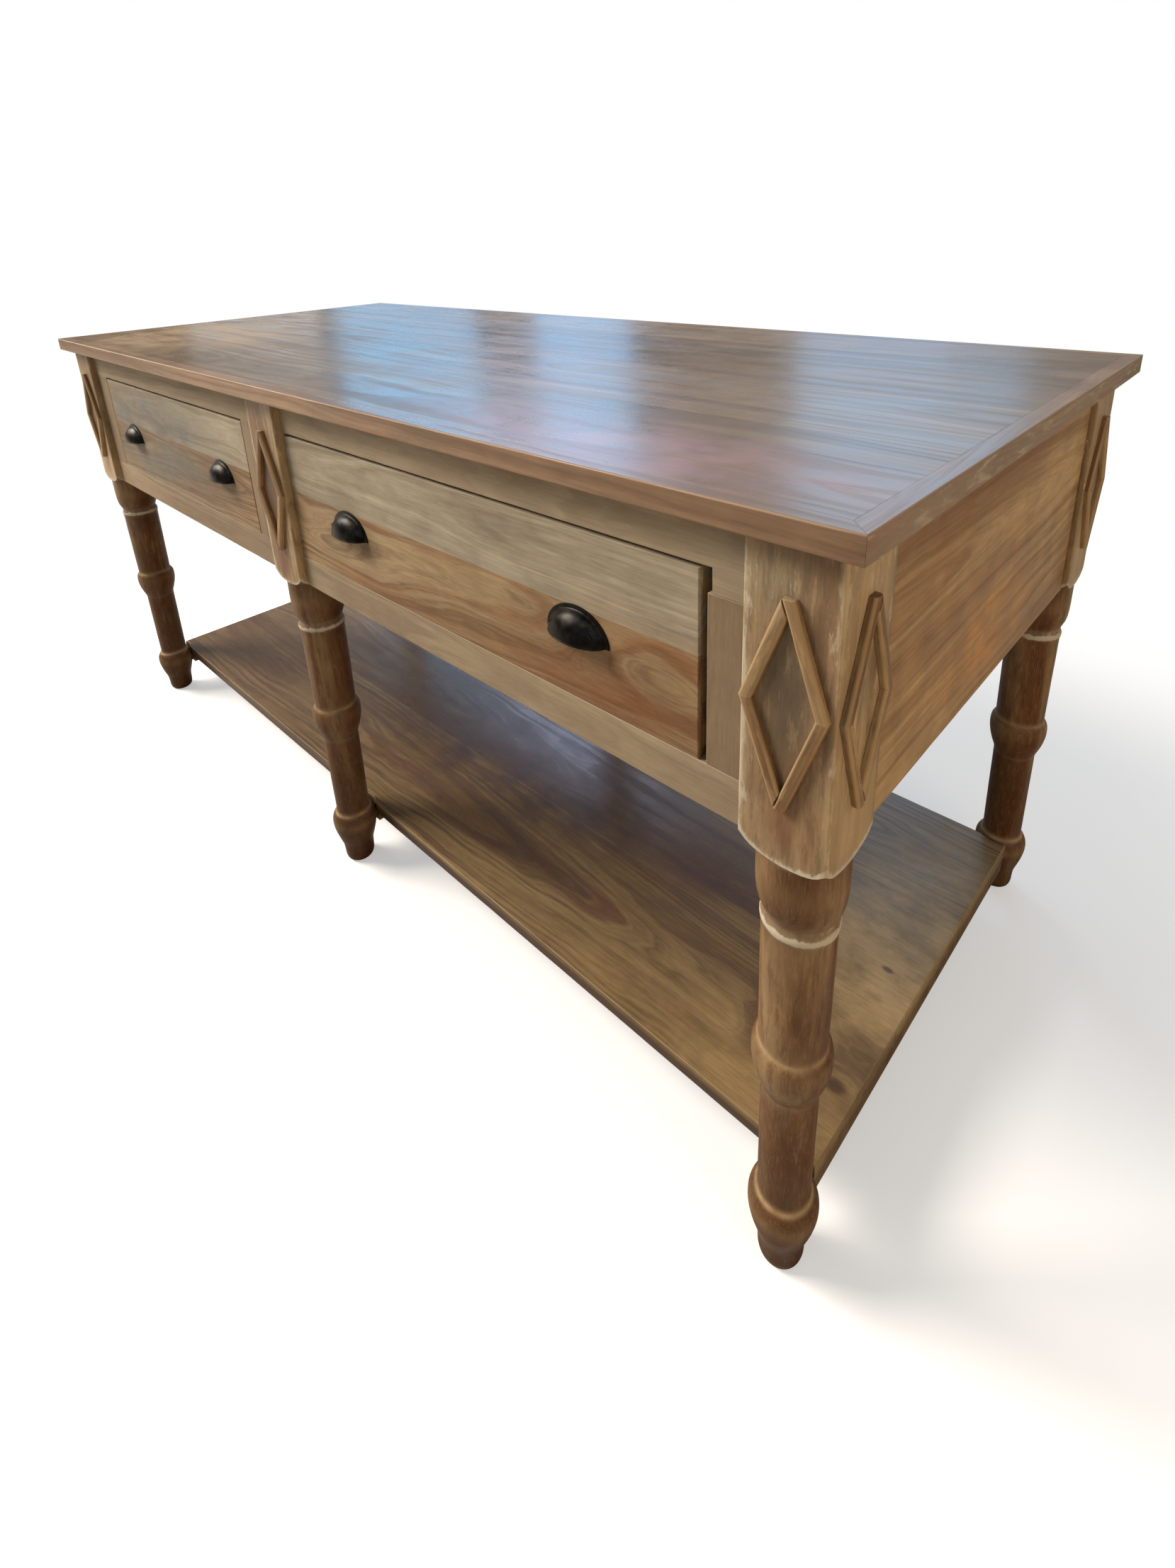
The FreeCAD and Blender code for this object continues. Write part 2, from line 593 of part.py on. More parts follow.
def build_rails():
    """Front rails and stiles, housed for the runners and kickers."""
    left, right = BAYS["left"], BAYS["right"]
    stiles = {
        "stile_left_outer": (left[0], OPENINGS["left"][0], OPEN_TOP),
        "stile_left_inner": (OPENINGS["left"][1], left[1], OPEN_TOP),
        "stile_right_outer": (OPENINGS["right"][1], right[1], OPEN_TOP - EAR_HEIGHT),
    }
    middle_y = (FRONT_Y + RAIL_BACK_Y) / 2
    stub_y = (middle_y - TENON_THICK / 2, middle_y + TENON_THICK / 2)
    for name, (x0, x1, top) in stiles.items():
        stub = bar(x0 + STUB_SHOULDER, x1 - STUB_SHOULDER, stub_y[0], stub_y[1],
                   OPEN_BOTTOM - STUB_LENGTH, top + STUB_LENGTH)
        body = bar(x0, x1, FRONT_Y, RAIL_BACK_Y, OPEN_BOTTOM, top)
        NODES[name] = [joined([body, stub])]
    stile_solids = [NODES[name][0] for name in stiles]

    for side, (x0, x1) in BAYS.items():
        upper = tenoned(x0, x1, FRONT_Y, RAIL_BACK_Y, OPEN_TOP, UNDERSIDE, "x")
        if side == "right":
            ear = bar(x1 - EAR_WIDTH, x1, FRONT_Y, RAIL_BACK_Y, OPEN_TOP - EAR_HEIGHT, OPEN_TOP)
            upper = joined([upper, ear])
        lower = tenoned(x0, x1, FRONT_Y, RAIL_BACK_Y, APRON_BOTTOM, OPEN_BOTTOM, "x")
        back = tenoned(x0, x1, -RAIL_BACK_Y, -FRONT_Y, APRON_BOTTOM, UNDERSIDE, "x")
        faces = ((DRAWERS[side][0] - SIDE_GAP, -1), (DRAWERS[side][1] + SIDE_GAP, 1))
        runners = [runner(face_x, outward) for face_x, outward in faces]
        kickers = [kicker(face_x, outward) for face_x, outward in faces]
        stops = [drawer_stop(face_x, outward) for face_x, outward in faces]
        NODES["rail_top_" + side] = [without(upper, stile_solids + kickers)]
        NODES["rail_bottom_" + side] = [without(lower, stile_solids + runners)]
        NODES["back_panel_" + side] = [without(back, runners + kickers)]
        NODES["runners_" + side] = runners
        NODES.setdefault("kickers", []).extend(kickers)
        NODES.setdefault("drawer_stops", []).extend(stops)


def build_panels():
    """End panels and the partition between the drawers."""
    for side, x0 in (("left", -END_X), ("right", END_X - BOARD_THICK)):
        NODES["end_panel_" + side] = [tenoned(x0, x0 + BOARD_THICK, -BLOCK_INSIDE_Y, BLOCK_INSIDE_Y,
                                              APRON_BOTTOM, UNDERSIDE, "y")]
    x0 = MIDDLE_LEG_SHIFT - BOARD_THICK / 2
    NODES["centre_partition"] = [tenoned(x0, x0 + BOARD_THICK, -BLOCK_INSIDE_Y, BLOCK_INSIDE_Y,
                                         APRON_BOTTOM, UNDERSIDE, "y")]


def build_shelf():
    """Shelf boards on three bearers that are tenoned into the legs."""
    half_length = SHELF_HALF_LENGTH
    half_depth = SHELF_HALF_DEPTH
    width = 2 * half_depth / SHELF_BOARDS
    slab = rounded_slab(-half_length, half_length, -half_depth, half_depth, SHELF_BOTTOM, SHELF_TOP,
                        SHELF_EDGE_ROUND, SHELF_EDGE_ROUND)
    notches = []
    for x in LEG_PLACES.values():
        for y in (-LEG_Y, LEG_Y):
            notches.append(Part.makeCylinder(FOOT_RING_RADIUS + NOTCH_CLEARANCE,
                                             SHELF_THICK + 2 * OVERRUN,
                                             Vector(x, y, SHELF_BOTTOM - OVERRUN)))
    low = SHELF_BOTTOM - BATTEN
    seat = low + COUNTERBORE_DEPTH
    places = []
    for x in LEG_PLACES.values():
        for i in range(SHELF_BOARDS):
            for share in SHELF_SCREW_SHARES:
                places.append((x, -half_depth + (i + share) * width))
    holes = [wood_screw_hole(x, y, seat) for x, y in places]
    for i in range(SHELF_BOARDS):
        start = -half_depth + i * width
        board = slab.common(bar(-half_length, half_length, start, start + width,
                                SHELF_BOTTOM, SHELF_TOP))
        NODES["shelf_board_%d" % (i + 1)] = [without(only(board), notches + holes)]

    bearers = []
    end_y = LEG_Y - FOOT_RING_RADIUS - BEARER_CLEARANCE
    tenon_z = low + (BATTEN - BEARER_TENON_HEIGHT) / 2
    for x in LEG_PLACES.values():
        body = bar(x - BEARER_WIDTH / 2, x + BEARER_WIDTH / 2, -end_y, end_y, low, SHELF_BOTTOM)
        core = bar(x - BEARER_TENON_WIDTH / 2, x + BEARER_TENON_WIDTH / 2,
                   -end_y - BEARER_TENON_LENGTH, end_y + BEARER_TENON_LENGTH,
                   tenon_z, tenon_z + BEARER_TENON_HEIGHT)
        bearers.append(without(joined([body, core]), holes))
    NODES["shelf_bearers"] = bearers
    return [wood_screw(x, y, seat) for x, y in places]


def build_top():
    """Top boards, lips and the battens that hold them."""
    battens, places = top_battens()
    seat = UNDERSIDE - BATTEN + COUNTERBORE_DEPTH
    holes = [wood_screw_hole(x, y, seat) for x, y in places]
    for i, board in enumerate(top_boards()):
        NODES["top_board_%d" % (i + 1)] = [without(board, holes)]
    for side, lip in top_lips().items():
        NODES["top_lip_" + side] = [lip]
    NODES["top_battens"] = [without(batten, holes) for batten in battens]
    return [wood_screw(x, y, seat) for x, y in places]


def build_legs():
    """Six legs with a mortise for every tenon that reaches them."""
    tenoned_names = ["rail_top_left", "rail_top_right", "rail_bottom_left", "rail_bottom_right",
                     "back_panel_left", "back_panel_right", "end_panel_left", "end_panel_right",
                     "centre_partition", "shelf_bearers"]
    tenoned_solids = [solid for name in tenoned_names for solid in NODES[name]]
    blank = leg_blank()
    for row, y in (("front", -LEG_Y), ("back", LEG_Y)):
        for place, x in LEG_PLACES.items():
            leg = blank.copy()
            leg.translate(Vector(x, y, 0))
            NODES["leg_%s_%s" % (row, place)] = [without(leg, tenoned_solids)]


def build_diamonds():
    """Diamonds on the outer faces of the legs' blocks."""
    xs = list(LEG_PLACES.values())
    NODES["diamonds_front"] = diamond_set([(x, -LEG_Y, 0) for x in xs])
    NODES["diamonds_back"] = diamond_set([(x, LEG_Y, 180) for x in xs])
    NODES["diamonds_right"] = diamond_set([(LEG_X, y, 90) for y in (-LEG_Y, LEG_Y)])
    NODES["diamonds_left"] = diamond_set([(-LEG_X, y, -90) for y in (-LEG_Y, LEG_Y)])


build_rails()
build_panels()
screws = build_shelf() + build_top()
build_legs()
build_diamonds()
build_drawer("left", DRAWERS["left"][0], DRAWERS["left"][1], LEFT_PULL_INSET, 0)
build_drawer("right", DRAWERS["right"][0], DRAWERS["right"][1], RIGHT_PULL_INSET, RIGHT_PULL_SHIFT)
NODES["wood_screws"] = screws

os.makedirs("parts", exist_ok=True)
for node, solids in NODES.items():
    shape = solids[0] if len(solids) == 1 else Part.makeCompound(solids)
    shape.exportStep("parts/%s.step" % node)
    print(node, len(solids), round(shape.Volume), shape.isValid())
print(len(NODES), "nodes")
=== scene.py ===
"""Looks of the farmhouse table: planed boards, turned legs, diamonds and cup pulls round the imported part.

Lengths are in metres, written as millimetres times MM. The grain of each new wooden piece is an attribute
that says where in its log each point lay, so rings, streaks and pores run through it as through real wood.
"""

import bmesh
import bpy
import numpy as np
from mathutils import Matrix, Vector


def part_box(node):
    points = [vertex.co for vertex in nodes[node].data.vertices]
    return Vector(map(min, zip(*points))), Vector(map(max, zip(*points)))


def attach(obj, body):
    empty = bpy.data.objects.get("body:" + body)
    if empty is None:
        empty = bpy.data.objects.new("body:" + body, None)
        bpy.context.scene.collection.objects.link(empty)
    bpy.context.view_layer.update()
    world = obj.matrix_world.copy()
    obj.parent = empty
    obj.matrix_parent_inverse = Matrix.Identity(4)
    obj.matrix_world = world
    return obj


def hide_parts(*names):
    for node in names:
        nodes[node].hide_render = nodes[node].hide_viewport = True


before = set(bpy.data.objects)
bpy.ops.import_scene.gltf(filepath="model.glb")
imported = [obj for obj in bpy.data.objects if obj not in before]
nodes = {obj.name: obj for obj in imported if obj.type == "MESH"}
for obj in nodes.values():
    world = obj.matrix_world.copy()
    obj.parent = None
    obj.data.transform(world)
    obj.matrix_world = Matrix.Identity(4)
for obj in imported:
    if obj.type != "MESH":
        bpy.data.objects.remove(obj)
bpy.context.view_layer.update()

MM = 0.001
X, Y, Z = 0, 1, 2

# Camera, as solved from the photograph: place, turn in degrees, and lens on a 36 mm long side
CAMERA_PLACE = (1.15408, -0.87328, 1.09724)
CAMERA_YAW, CAMERA_PITCH, CAMERA_ROLL = -44.21, -19.01, -2.35
PHOTO_WIDTH, PHOTO_HEIGHT = 1658, 2212
FOCAL_PIXELS = 1110.56
CENTRE_PIXEL = (839.87, 697.97)
SENSOR = 36.0

# Boards: roundings, the right top rail's ear, depth of the planed faces' dips and of the arrises' wear, and
# how far apart rows of points lie
TOP_EDGE_ROUND = 2.0 * MM
TOP_CORNER_ROUND = 4.0 * MM
JOINT_ROUND = 0.15 * MM
MITRE_ROUND = 0.3 * MM
ARRIS_ROUND = 0.9 * MM
SHELF_ROUND = 1.5 * MM
STRIP_ROUND = 3.4 * MM
EAR_WIDTH = 37.5 * MM
EAR_HEIGHT = 24.0 * MM
PLANE_RIPPLE = 0.12 * MM
ARRIS_WEAR = 0.35 * MM
BOARD_STEP = 12.0 * MM
SUPPORT = 1.0 * MM
LEAST_STEP = 0.02 * MM
ARC_STEPS = 4
ARC = np.radians(np.linspace(0, 90, ARC_STEPS + 1))
SHARP_OVER = np.radians(35)

# Legs: height and radius in mm, one row for each smooth run between two crisp edges
TURNING = (
    ((0, 19), (3.5, 22.8), (10, 25), (22, 25.8), (36, 27.2), (50, 31.3), (68, 36), (85, 38.2), (95, 37.2),
     (103, 33.4), (107, 29.9)),
    ((107, 29.9), (112, 28.6)),
    ((112, 28.6), (266, 29.6)),
    ((266, 29.6), (269, 30.2), (280, 34), (296, 38.6), (313, 40.5), (325, 38.8), (331, 34.6)),
    ((331, 34.6), (333.5, 34.3)),
    ((333.5, 34.3), (480, 35.8)),
    ((480, 35.8), (485, 37), (489, 37.2), (491.5, 36.2)),
    ((491.5, 36.2), (497, 34.5), (503, 36.5)),
    ((503, 36.5), (512, 39.9), (525, 41.8), (540, 42.4)),
    ((540, 42.4), (572.6, 42.4)),
)
SHOULDER = ((572.6, 42.4), (578, 52.4), (589.5, 62))
LEG_HALF = 43.0 * MM
LEG_CORNER = 2.0 * MM
TURN_STEP = 4.0 * MM
LEG_UNEVEN = 0.18 * MM
LEG_LEAN = 0.4 * MM
FACE_COLUMNS = 16
NOTCH_RADIUS = 39.0 * MM
NOTCH_FADE = 40.0 * MM

# Diamonds
DIAMOND_HALF_HEIGHT = 96.0 * MM
DIAMOND_MARGIN = 1.0 * MM
STRIP_WIDTH = 11.5 * MM
STRIP_THICK = 7.0 * MM
GLUE_DEPTH = 0.05 * MM

# Cup pulls
PULL_HALF_WIDTH = 44.0 * MM
PULL_HEIGHT = 35.5 * MM
PULL_PROJECTION = 20.0 * MM
PULL_FLANGE = 4.5 * MM
PULL_WALL = 1.6 * MM
PULL_FILLET = 1.6 * MM
PULL_BEAD = 1.15 * MM
POST_RADIUS = 3.8 * MM
POST_LENGTH = 11.5 * MM
POST_OFFSET = 26.0 * MM
POST_RISE = 12.0 * MM


# Colours and nodes


def linear(code):
    """Linear colour of an sRGB hex code such as #8a6a4c."""
    shares = np.array([int(code[k:k + 2], 16) for k in (1, 3, 5)]) / 255
    low, high = shares / 12.92, ((shares + 0.055) / 1.055) ** 2.4
    return (*np.where(shares <= 0.04045, low, high).tolist(), 1.0)


def add(tree, kind, inputs=(), **settings):
    """Adds one shader node with its settings, and links or sets its inputs, given in order or by name or
    number. A node given as an input stands for its first output in use."""
    node = tree.nodes.new(f"ShaderNode{kind}")
    for key, value in settings.items():
        setattr(node, key, value)
    for key, value in inputs.items() if isinstance(inputs, dict) else enumerate(inputs):
        if isinstance(value, bpy.types.Node):
            value = next(output for output in value.outputs if output.enabled)
        if isinstance(value, bpy.types.NodeSocket):
            tree.links.new(value, node.inputs[key])
        else:
            node.inputs[key].default_value = value
    return node


SOFT = {"interpolation_type": "SMOOTHSTEP"}
TIMES = {"operation": "MULTIPLY"}


def new_material(name):
    """A node material and its empty tree."""
    material = bpy.data.materials.new(name)
    material.use_nodes = True
    material.node_tree.nodes.clear()
    return material, material.node_tree


def hardwood(name, pale, body, dark, red, lime, roughness, gloss=0.25, lines=0.40, fine=0.08, clouds=0.10,
             rings=1.0, mottle=0.0, lime_in_pores=0.0, ripple=0.0, dents=0.0, relief_share=0.30, knots=(),
             spots=(), lay=None):
    """Oiled or limed hardwood, planed and sanded. The eye gets growth rings that run out in long arches,
    fine fibre streaks, open pores, a few redder streaks, cloudy oil and chalky lime in what lies deep.

    The shader works in the log: first along it, then two ways across from the pith. New pieces carry that
    as the attribute grain, and CAD pieces get it from Object coordinates by lay, a (turn, shift) of it.
    Lines, fine, clouds and mottle are the strengths of rings, fibres, the oil's clouds and dark and pale
    patches. Rings is how close the growth rings lie. Relief_share is the strength of the fibres' relief,
    and dents and ripple are the depths of small and wide unevenness. Knots swell the rings round a place,
    and spots lay a soft patch of one colour on a place: some are stains, and some are painted light and
    painted shade."""
    material, tree = new_material(name)
    tone = add(tree, "Attribute", attribute_name="tone").outputs["Vector"]
    shade, blush, limed = add(tree, "SeparateXYZ", [tone]).outputs
    worn = add(tree, "Attribute", attribute_name="worn").outputs["Fac"]
    place = add(tree, "TexCoord").outputs["Object"]
    if lay is None:
        log = add(tree, "Attribute", attribute_name="grain").outputs["Vector"]
    else:
        log = add(tree, "Mapping", {"Vector": place, "Rotation": lay[0], "Location": lay[1]})

    def stretched(source, along, across, detail, fade=0.55):
        """Noise drawn out along the grain: how many features a metre holds along it and across it."""
        vector = add(tree, "VectorMath", [source, (along, across, across)], **TIMES)
        return add(tree, "TexNoise", {"Vector": vector, "Scale": 1.0, "Detail": detail, "Roughness": fade})

    def apart_from(centre, size):
        """Distance from a place, in shares of a size."""
        away = add(tree, "VectorMath", [place, centre], operation="SUBTRACT")
        near = add(tree, "VectorMath", [away, tuple(1 / s for s in size)], **TIMES)
        return add(tree, "VectorMath", [near], operation="LENGTH")

    def coated(colour, coats):
        """Lays coats over a colour: where each lies, how much it covers there, and its own colour."""
        for where, amount, code in coats:
            cover = add(tree, "Math", [where, amount], **TIMES)
            colour = add(tree, "Mix", {0: cover, 6: colour, 7: linear(code)}, data_type="RGBA")
        return colour

    # The tree's slow wander of about 10 mm and its small wander of about 2 mm shift the rings
    grown = log
    for along, across, reach in ((2.0, 9.0, 40 * MM), (8.0, 34.0, 7 * MM)):
        noise = stretched(log, along, across, 2.0).outputs["Color"]
        drift = add(tree, "VectorMath", [noise, (0.5, 0.5, 0.5)], operation="SUBTRACT")
        moved = add(tree, "VectorMath", [drift, (0, reach, reach)], **TIMES)
        grown = add(tree, "VectorMath", [grown, moved], operation="ADD")
    flat = add(tree, "VectorMath", [grown, (0, 1, 1)], **TIMES)
    ring = add(tree, "VectorMath", [flat], operation="LENGTH")
    heart = 0.0
    for centre, size, bulge in knots:
        apart = apart_from(centre, size)
        swelling = add(tree, "MapRange", {0: apart, 1: 1.0, 2: 0.0, 4: bulge}, **SOFT)
        ring = add(tree, "Math", [ring, swelling], operation="ADD")
        core = add(tree, "MapRange", [apart, 0.12, 0.04], **SOFT)
        heart = add(tree, "Math", [core, heart], operation="MAXIMUM")
    counted = add(tree, "Math", [ring, rings], **TIMES)
    growth = add(tree, "CombineXYZ", [add(tree, "SeparateXYZ", [grown]), counted])

    # Broad bands of 60 mm, rings of 13 mm, red streaks of 26 mm, fibres of 2 mm, pores of 1 by 18 mm, and
    # clouds of 80 mm. Real fibres and pores are finer, and are drawn as coarse as they need to show
    broad = add(tree, "MapRange", [stretched(growth, 0.9, 16.0, 2.0), 0.36, 0.64], **SOFT)
    year = add(tree, "MapRange", [stretched(growth, 1.6, 75.0, 4.0, 0.65), 0.40, 0.64], **SOFT)
    streak = add(tree, "MapRange", [stretched(growth, 1.3, 38.0, 3.0, 0.6), 0.54, 0.66], **SOFT)
    pores = add(tree, "MapRange", [stretched(log, 55.0, 1000.0, 1.0), 0.62, 0.70], **SOFT)
    fibre = stretched(log, 16.0, 430.0, 3.0, 0.6)
    cloud = stretched(place, 11.0, 14.0, 4.0, 0.6)

    coats = [(broad, 1.0, pale), (year, lines, dark), (streak, lines, red)]
    cloudy = add(tree, "MapRange", [cloud, 0.30, 0.70, 0.25, 0.75], **SOFT)
    # Each spot's colour is a stain or a patch of painted light or painted shade, as listed at its material
    for centre, size, spot_colour, share in spots:
        near = add(tree, "MapRange", {0: apart_from(centre, size), 1: 1.0, 2: 0.15, 4: 2 * share}, **SOFT)
        coats.append((near, cloudy, spot_colour))
    if mottle:
        patch = stretched(log, 24.0, 120.0, 4.0, 0.65)
        for low, high, code in ((0.50, 0.62, dark), (0.46, 0.34, pale)):
            coats.append((add(tree, "MapRange", [patch, low, high], **SOFT), mottle, code))
    colour = coated(linear(body), coats)
    streaky = add(tree, "MapRange", [fibre, 0.30, 0.70, 1 - fine, 1 + fine], **SOFT)
    oiled = add(tree, "MapRange", [cloud, 0.32, 0.68, 1 - clouds, 1 + clouds], **SOFT)
    light = add(tree, "Math", [streaky, oiled], **TIMES)
    colour = add(tree, "Mix", {0: 1.0, 6: colour, 7: light}, data_type="RGBA", blend_type="MULTIPLY")

    # Lime lies as a thin wash, and as solid chalk where there is much of it or where the wood is rough
    rough = add(tree, "Math", [stretched(log, 30.0, 120.0, 4.0, 0.7), limed], operation="ADD")
    solid = add(tree, "MapRange", {0: rough, 1: 0.88, 2: 1.12, 4: 0.85}, **SOFT)
    wash = add(tree, "Math", [limed, 0.4], **TIMES)
    chalk = add(tree, "Math", [solid, wash], operation="MAXIMUM")
    if lime_in_pores:
        filled = add(tree, "Math", [pores, lime_in_pores], **TIMES)
        chalk = add(tree, "Math", [chalk, filled], operation="MAXIMUM")
    thin = stretched(log, 12.0, 60.0, 2.0)
    thin = add(tree, "MapRange", [thin, 0.34, 0.62, 0.45, 0.95], **SOFT)
    rubbed = add(tree, "Math", [worn, thin], **TIMES)
    paler = add(tree, "MapRange", [shade], **SOFT)
    darker = add(tree, "MapRange", {0: shade, 2: -1.0}, **SOFT)
    coats = [(heart, 0.75, dark)] if knots else []
    coats += [(paler, 1.0, pale), (darker, 1.0, dark), (blush, 1.0, red), (pores, 0.12, dark)]
    coats += [(chalk, 1.0, lime), (rubbed, 1.0, pale)]
    colour = coated(colour, coats)

    sleek, matt = roughness * 0.90, roughness * 1.12
    even = add(tree, "MapRange", [cloud, 0.3, 0.7, sleek, matt], **SOFT)
    late = add(tree, "MapRange", {0: year, 3: 0.92, 4: 1.2}, **SOFT)
    dull = add(tree, "Math", [even, late], **TIMES)
    for coat, amount in ((chalk, 0.3), (rubbed, 0.5)):
        dull = add(tree, "Math", [coat, amount, dull], operation="MULTIPLY_ADD")
    relief = fibre
    for coat, amount in ((year, -0.25), (pores, -0.03)):
        relief = add(tree, "Math", [coat, amount, relief], operation="MULTIPLY_ADD")
    bump = add(tree, "Bump", {"Height": relief, "Strength": relief_share, "Distance": 0.2 * MM})
    if dents:
        uneven = stretched(log, 45.0, 150.0, 3.0, 0.6)
        bump = add(tree, "Bump", {"Height": uneven, "Distance": dents, "Normal": bump})
    if ripple:
        swell = add(tree, "TexNoise", {"Vector": place, "Scale": 9.0, "Detail": 1.0})
        bump = add(tree, "Bump", {"Height": swell, "Distance": ripple, "Normal": bump})
    surface = add(tree, "BsdfPrincipled", {"Base Color": colour, "Roughness": dull, "Normal": bump,
                                           "IOR": 1.47, "Specular IOR Level": gloss})
    add(tree, "OutputMaterial", {"Surface": surface})
    return material


def blackened_iron():
    """Cast iron, sand-cast, blackened and waxed: a dark satin metal with faint browner clouds, and a
    slightly grainy skin."""
    material, tree = new_material("blackened_cast_iron")
    place = add(tree, "TexCoord").outputs["Object"]
    cloud = add(tree, "TexNoise", {"Vector": place, "Scale": 90.0, "Detail": 3.0})
    share = add(tree, "MapRange", [cloud, 0.38, 0.66], **SOFT)
    colour = add(tree, "Mix", {0: share, 6: linear("#181818"), 7: linear("#292724")}, data_type="RGBA")
    gloss = add(tree, "MapRange", [cloud, 0.3, 0.7, 0.30, 0.42])
    # Sand grit of about 0.7 mm
    grit = add(tree, "TexNoise", {"Vector": place, "Scale": 1400.0, "Detail": 1.0})
    bump = add(tree, "Bump", {"Height": grit, "Strength": 0.25, "Distance": 0.1 * MM})
    surface = add(tree, "BsdfPrincipled", {"Base Color": colour, "Metallic": 1.0, "Roughness": gloss,
                                           "Normal": bump})
    add(tree, "OutputMaterial", {"Surface": surface})
    return material


def zinc_steel():
    """Zinc-plated steel screws: a pale satin metal with faint cloudiness."""
    material, tree = new_material("zinc_plated_steel")
    place = add(tree, "TexCoord").outputs["Object"]
    cloud = add(tree, "TexNoise", {"Vector": place, "Scale": 300.0, "Detail": 2.0})
    colour = add(tree, "Mix", {0: cloud, 6: linear("#a9a8a2"), 7: linear("#8d8b84")}, data_type="RGBA")
    gloss = add(tree, "MapRange", [cloud, 0.3, 0.7, 0.28, 0.40])
    surface = add(tree, "BsdfPrincipled", {"Base Color": colour, "Metallic": 1.0, "Roughness": gloss})
    add(tree, "OutputMaterial", {"Surface": surface})
    return material


# Surfaces and pieces


def new_object(name, data):
    """Makes an object of its data and links it to the scene."""
    thing = bpy.data.objects.new(name, data)
    bpy.context.scene.collection.objects.link(thing)
    return thing


def waves(u, v, length_u, length_v, seed):
    """Smooth random ripple between -1 and 1: the mean of seven sines with drawn slants and phases."""
    draw = np.random.default_rng(seed)
    total = 0.0
    for _ in range(7):
        slant_u, slant_v = draw.uniform(0.4, 1.3) * draw.choice((-1, 1)), draw.uniform(0.4, 1.3)
        turns = slant_u * u / length_u + slant_v * v / length_v + draw.random()
        total = total + np.sin(2 * np.pi * turns)
    return total / 7


def spaced(start, end, step, support=SUPPORT):
    """Places from start to end, about a step apart, with one a support's width inside each end, so that
    smooth shading turns only there."""
    support = min(support, SUPPORT, (end - start) / 4)
    count = max(1, round((end - start - 2 * support) / step))
    inner = np.linspace(start + support, end - support, count + 1)
    return np.concatenate([[start], inner, [end]])


def smooth_run(points, step):
    """Points along a smooth curve through the given ones: cubic pieces whose slopes are the mean slopes of
    their neighbours, by distance."""
    points = np.array(points, float)
    if len(points) == 2:
        share = np.linspace(0, 1, max(2, round(np.abs(points[1] - points[0]).max() * MM / step) + 1))
        return points[0] + share[:, None] * (points[1] - points[0])
    reach = np.concatenate([[0], np.cumsum(np.linalg.norm(np.diff(points, axis=0), axis=1))])
    slope = np.gradient(points, reach, axis=0)
    at = np.linspace(0, reach[-1], round(reach[-1] * MM / step * 2) + 1)
    piece = np.clip(np.searchsorted(reach, at, side="right") - 1, 0, len(points) - 2)
    width = (reach[piece + 1] - reach[piece])[:, None]
    t = (at[:, None] - reach[piece][:, None]) / width
    return ((2 * t**3 - 3 * t**2 + 1) * points[piece] + (t**3 - 2 * t**2 + t) * width * slope[piece]
            + (3 * t**2 - 2 * t**3) * points[piece + 1] + (t**3 - t**2) * width * slope[piece + 1])


def grid_faces(rows, columns, wrapped=True):
    """Quads of a grid of rows and columns; wrapped joins the last column to the first."""
    row = np.arange(rows - 1)[:, None] * columns
    column = np.arange(columns if wrapped else columns - 1)[None, :]
    after = (column + 1) % columns
    corners = [row + column, row + after, row + columns + after, row + columns + column]
    return np.stack(corners, -1).reshape(-1, 4)


def capped(points):
    """Shell of a grid whose columns go round: its quads and a flat face at each end."""
    rows, columns = points.shape[:2]
    quads = grid_faces(rows, columns).tolist()
    last = (rows - 1) * columns
    return quads + [list(range(columns))[::-1], list(range(last, last + columns))]


def section(width, thick, radii, step):
    """Rounded rectangle from a corner at 0, 0: places, outward normals, and 1 at the middle of each arris.
    Corners are quarter circles, counted from the far one, and sides are divided about a step apart."""
    places, normals, arris = [], [], []
    far = ((1, 1), (0, 1), (0, 0), (1, 0))
    centres = [np.array([width - r if a else r, thick - r if b else r]) for (a, b), r in zip(far, radii)]
    for k in range(4):
        out = np.stack([np.cos(ARC + k * np.pi / 2), np.sin(ARC + k * np.pi / 2)], 1)
        places.append(centres[k] + radii[k] * out)
        normals.append(out)
        arris.append(np.sin(2 * ARC) * min(1, radii[k] / ARRIS_ROUND) ** 2)
        start = places[-1][-1]
        end = centres[(k + 1) % 4] + radii[(k + 1) % 4] * out[-1]
        length = np.linalg.norm(end - start)
        share = spaced(0, length, step, min(radii[k], radii[(k + 1) % 4]) + LEAST_STEP)[1:-1] / length
        places.append(start + share[:, None] * (end - start))
        normals.append(np.repeat(out[-1:], len(share), 0))
        arris.append(np.zeros(len(share)))
    return np.concatenate(places), np.concatenate(normals), np.concatenate(arris)


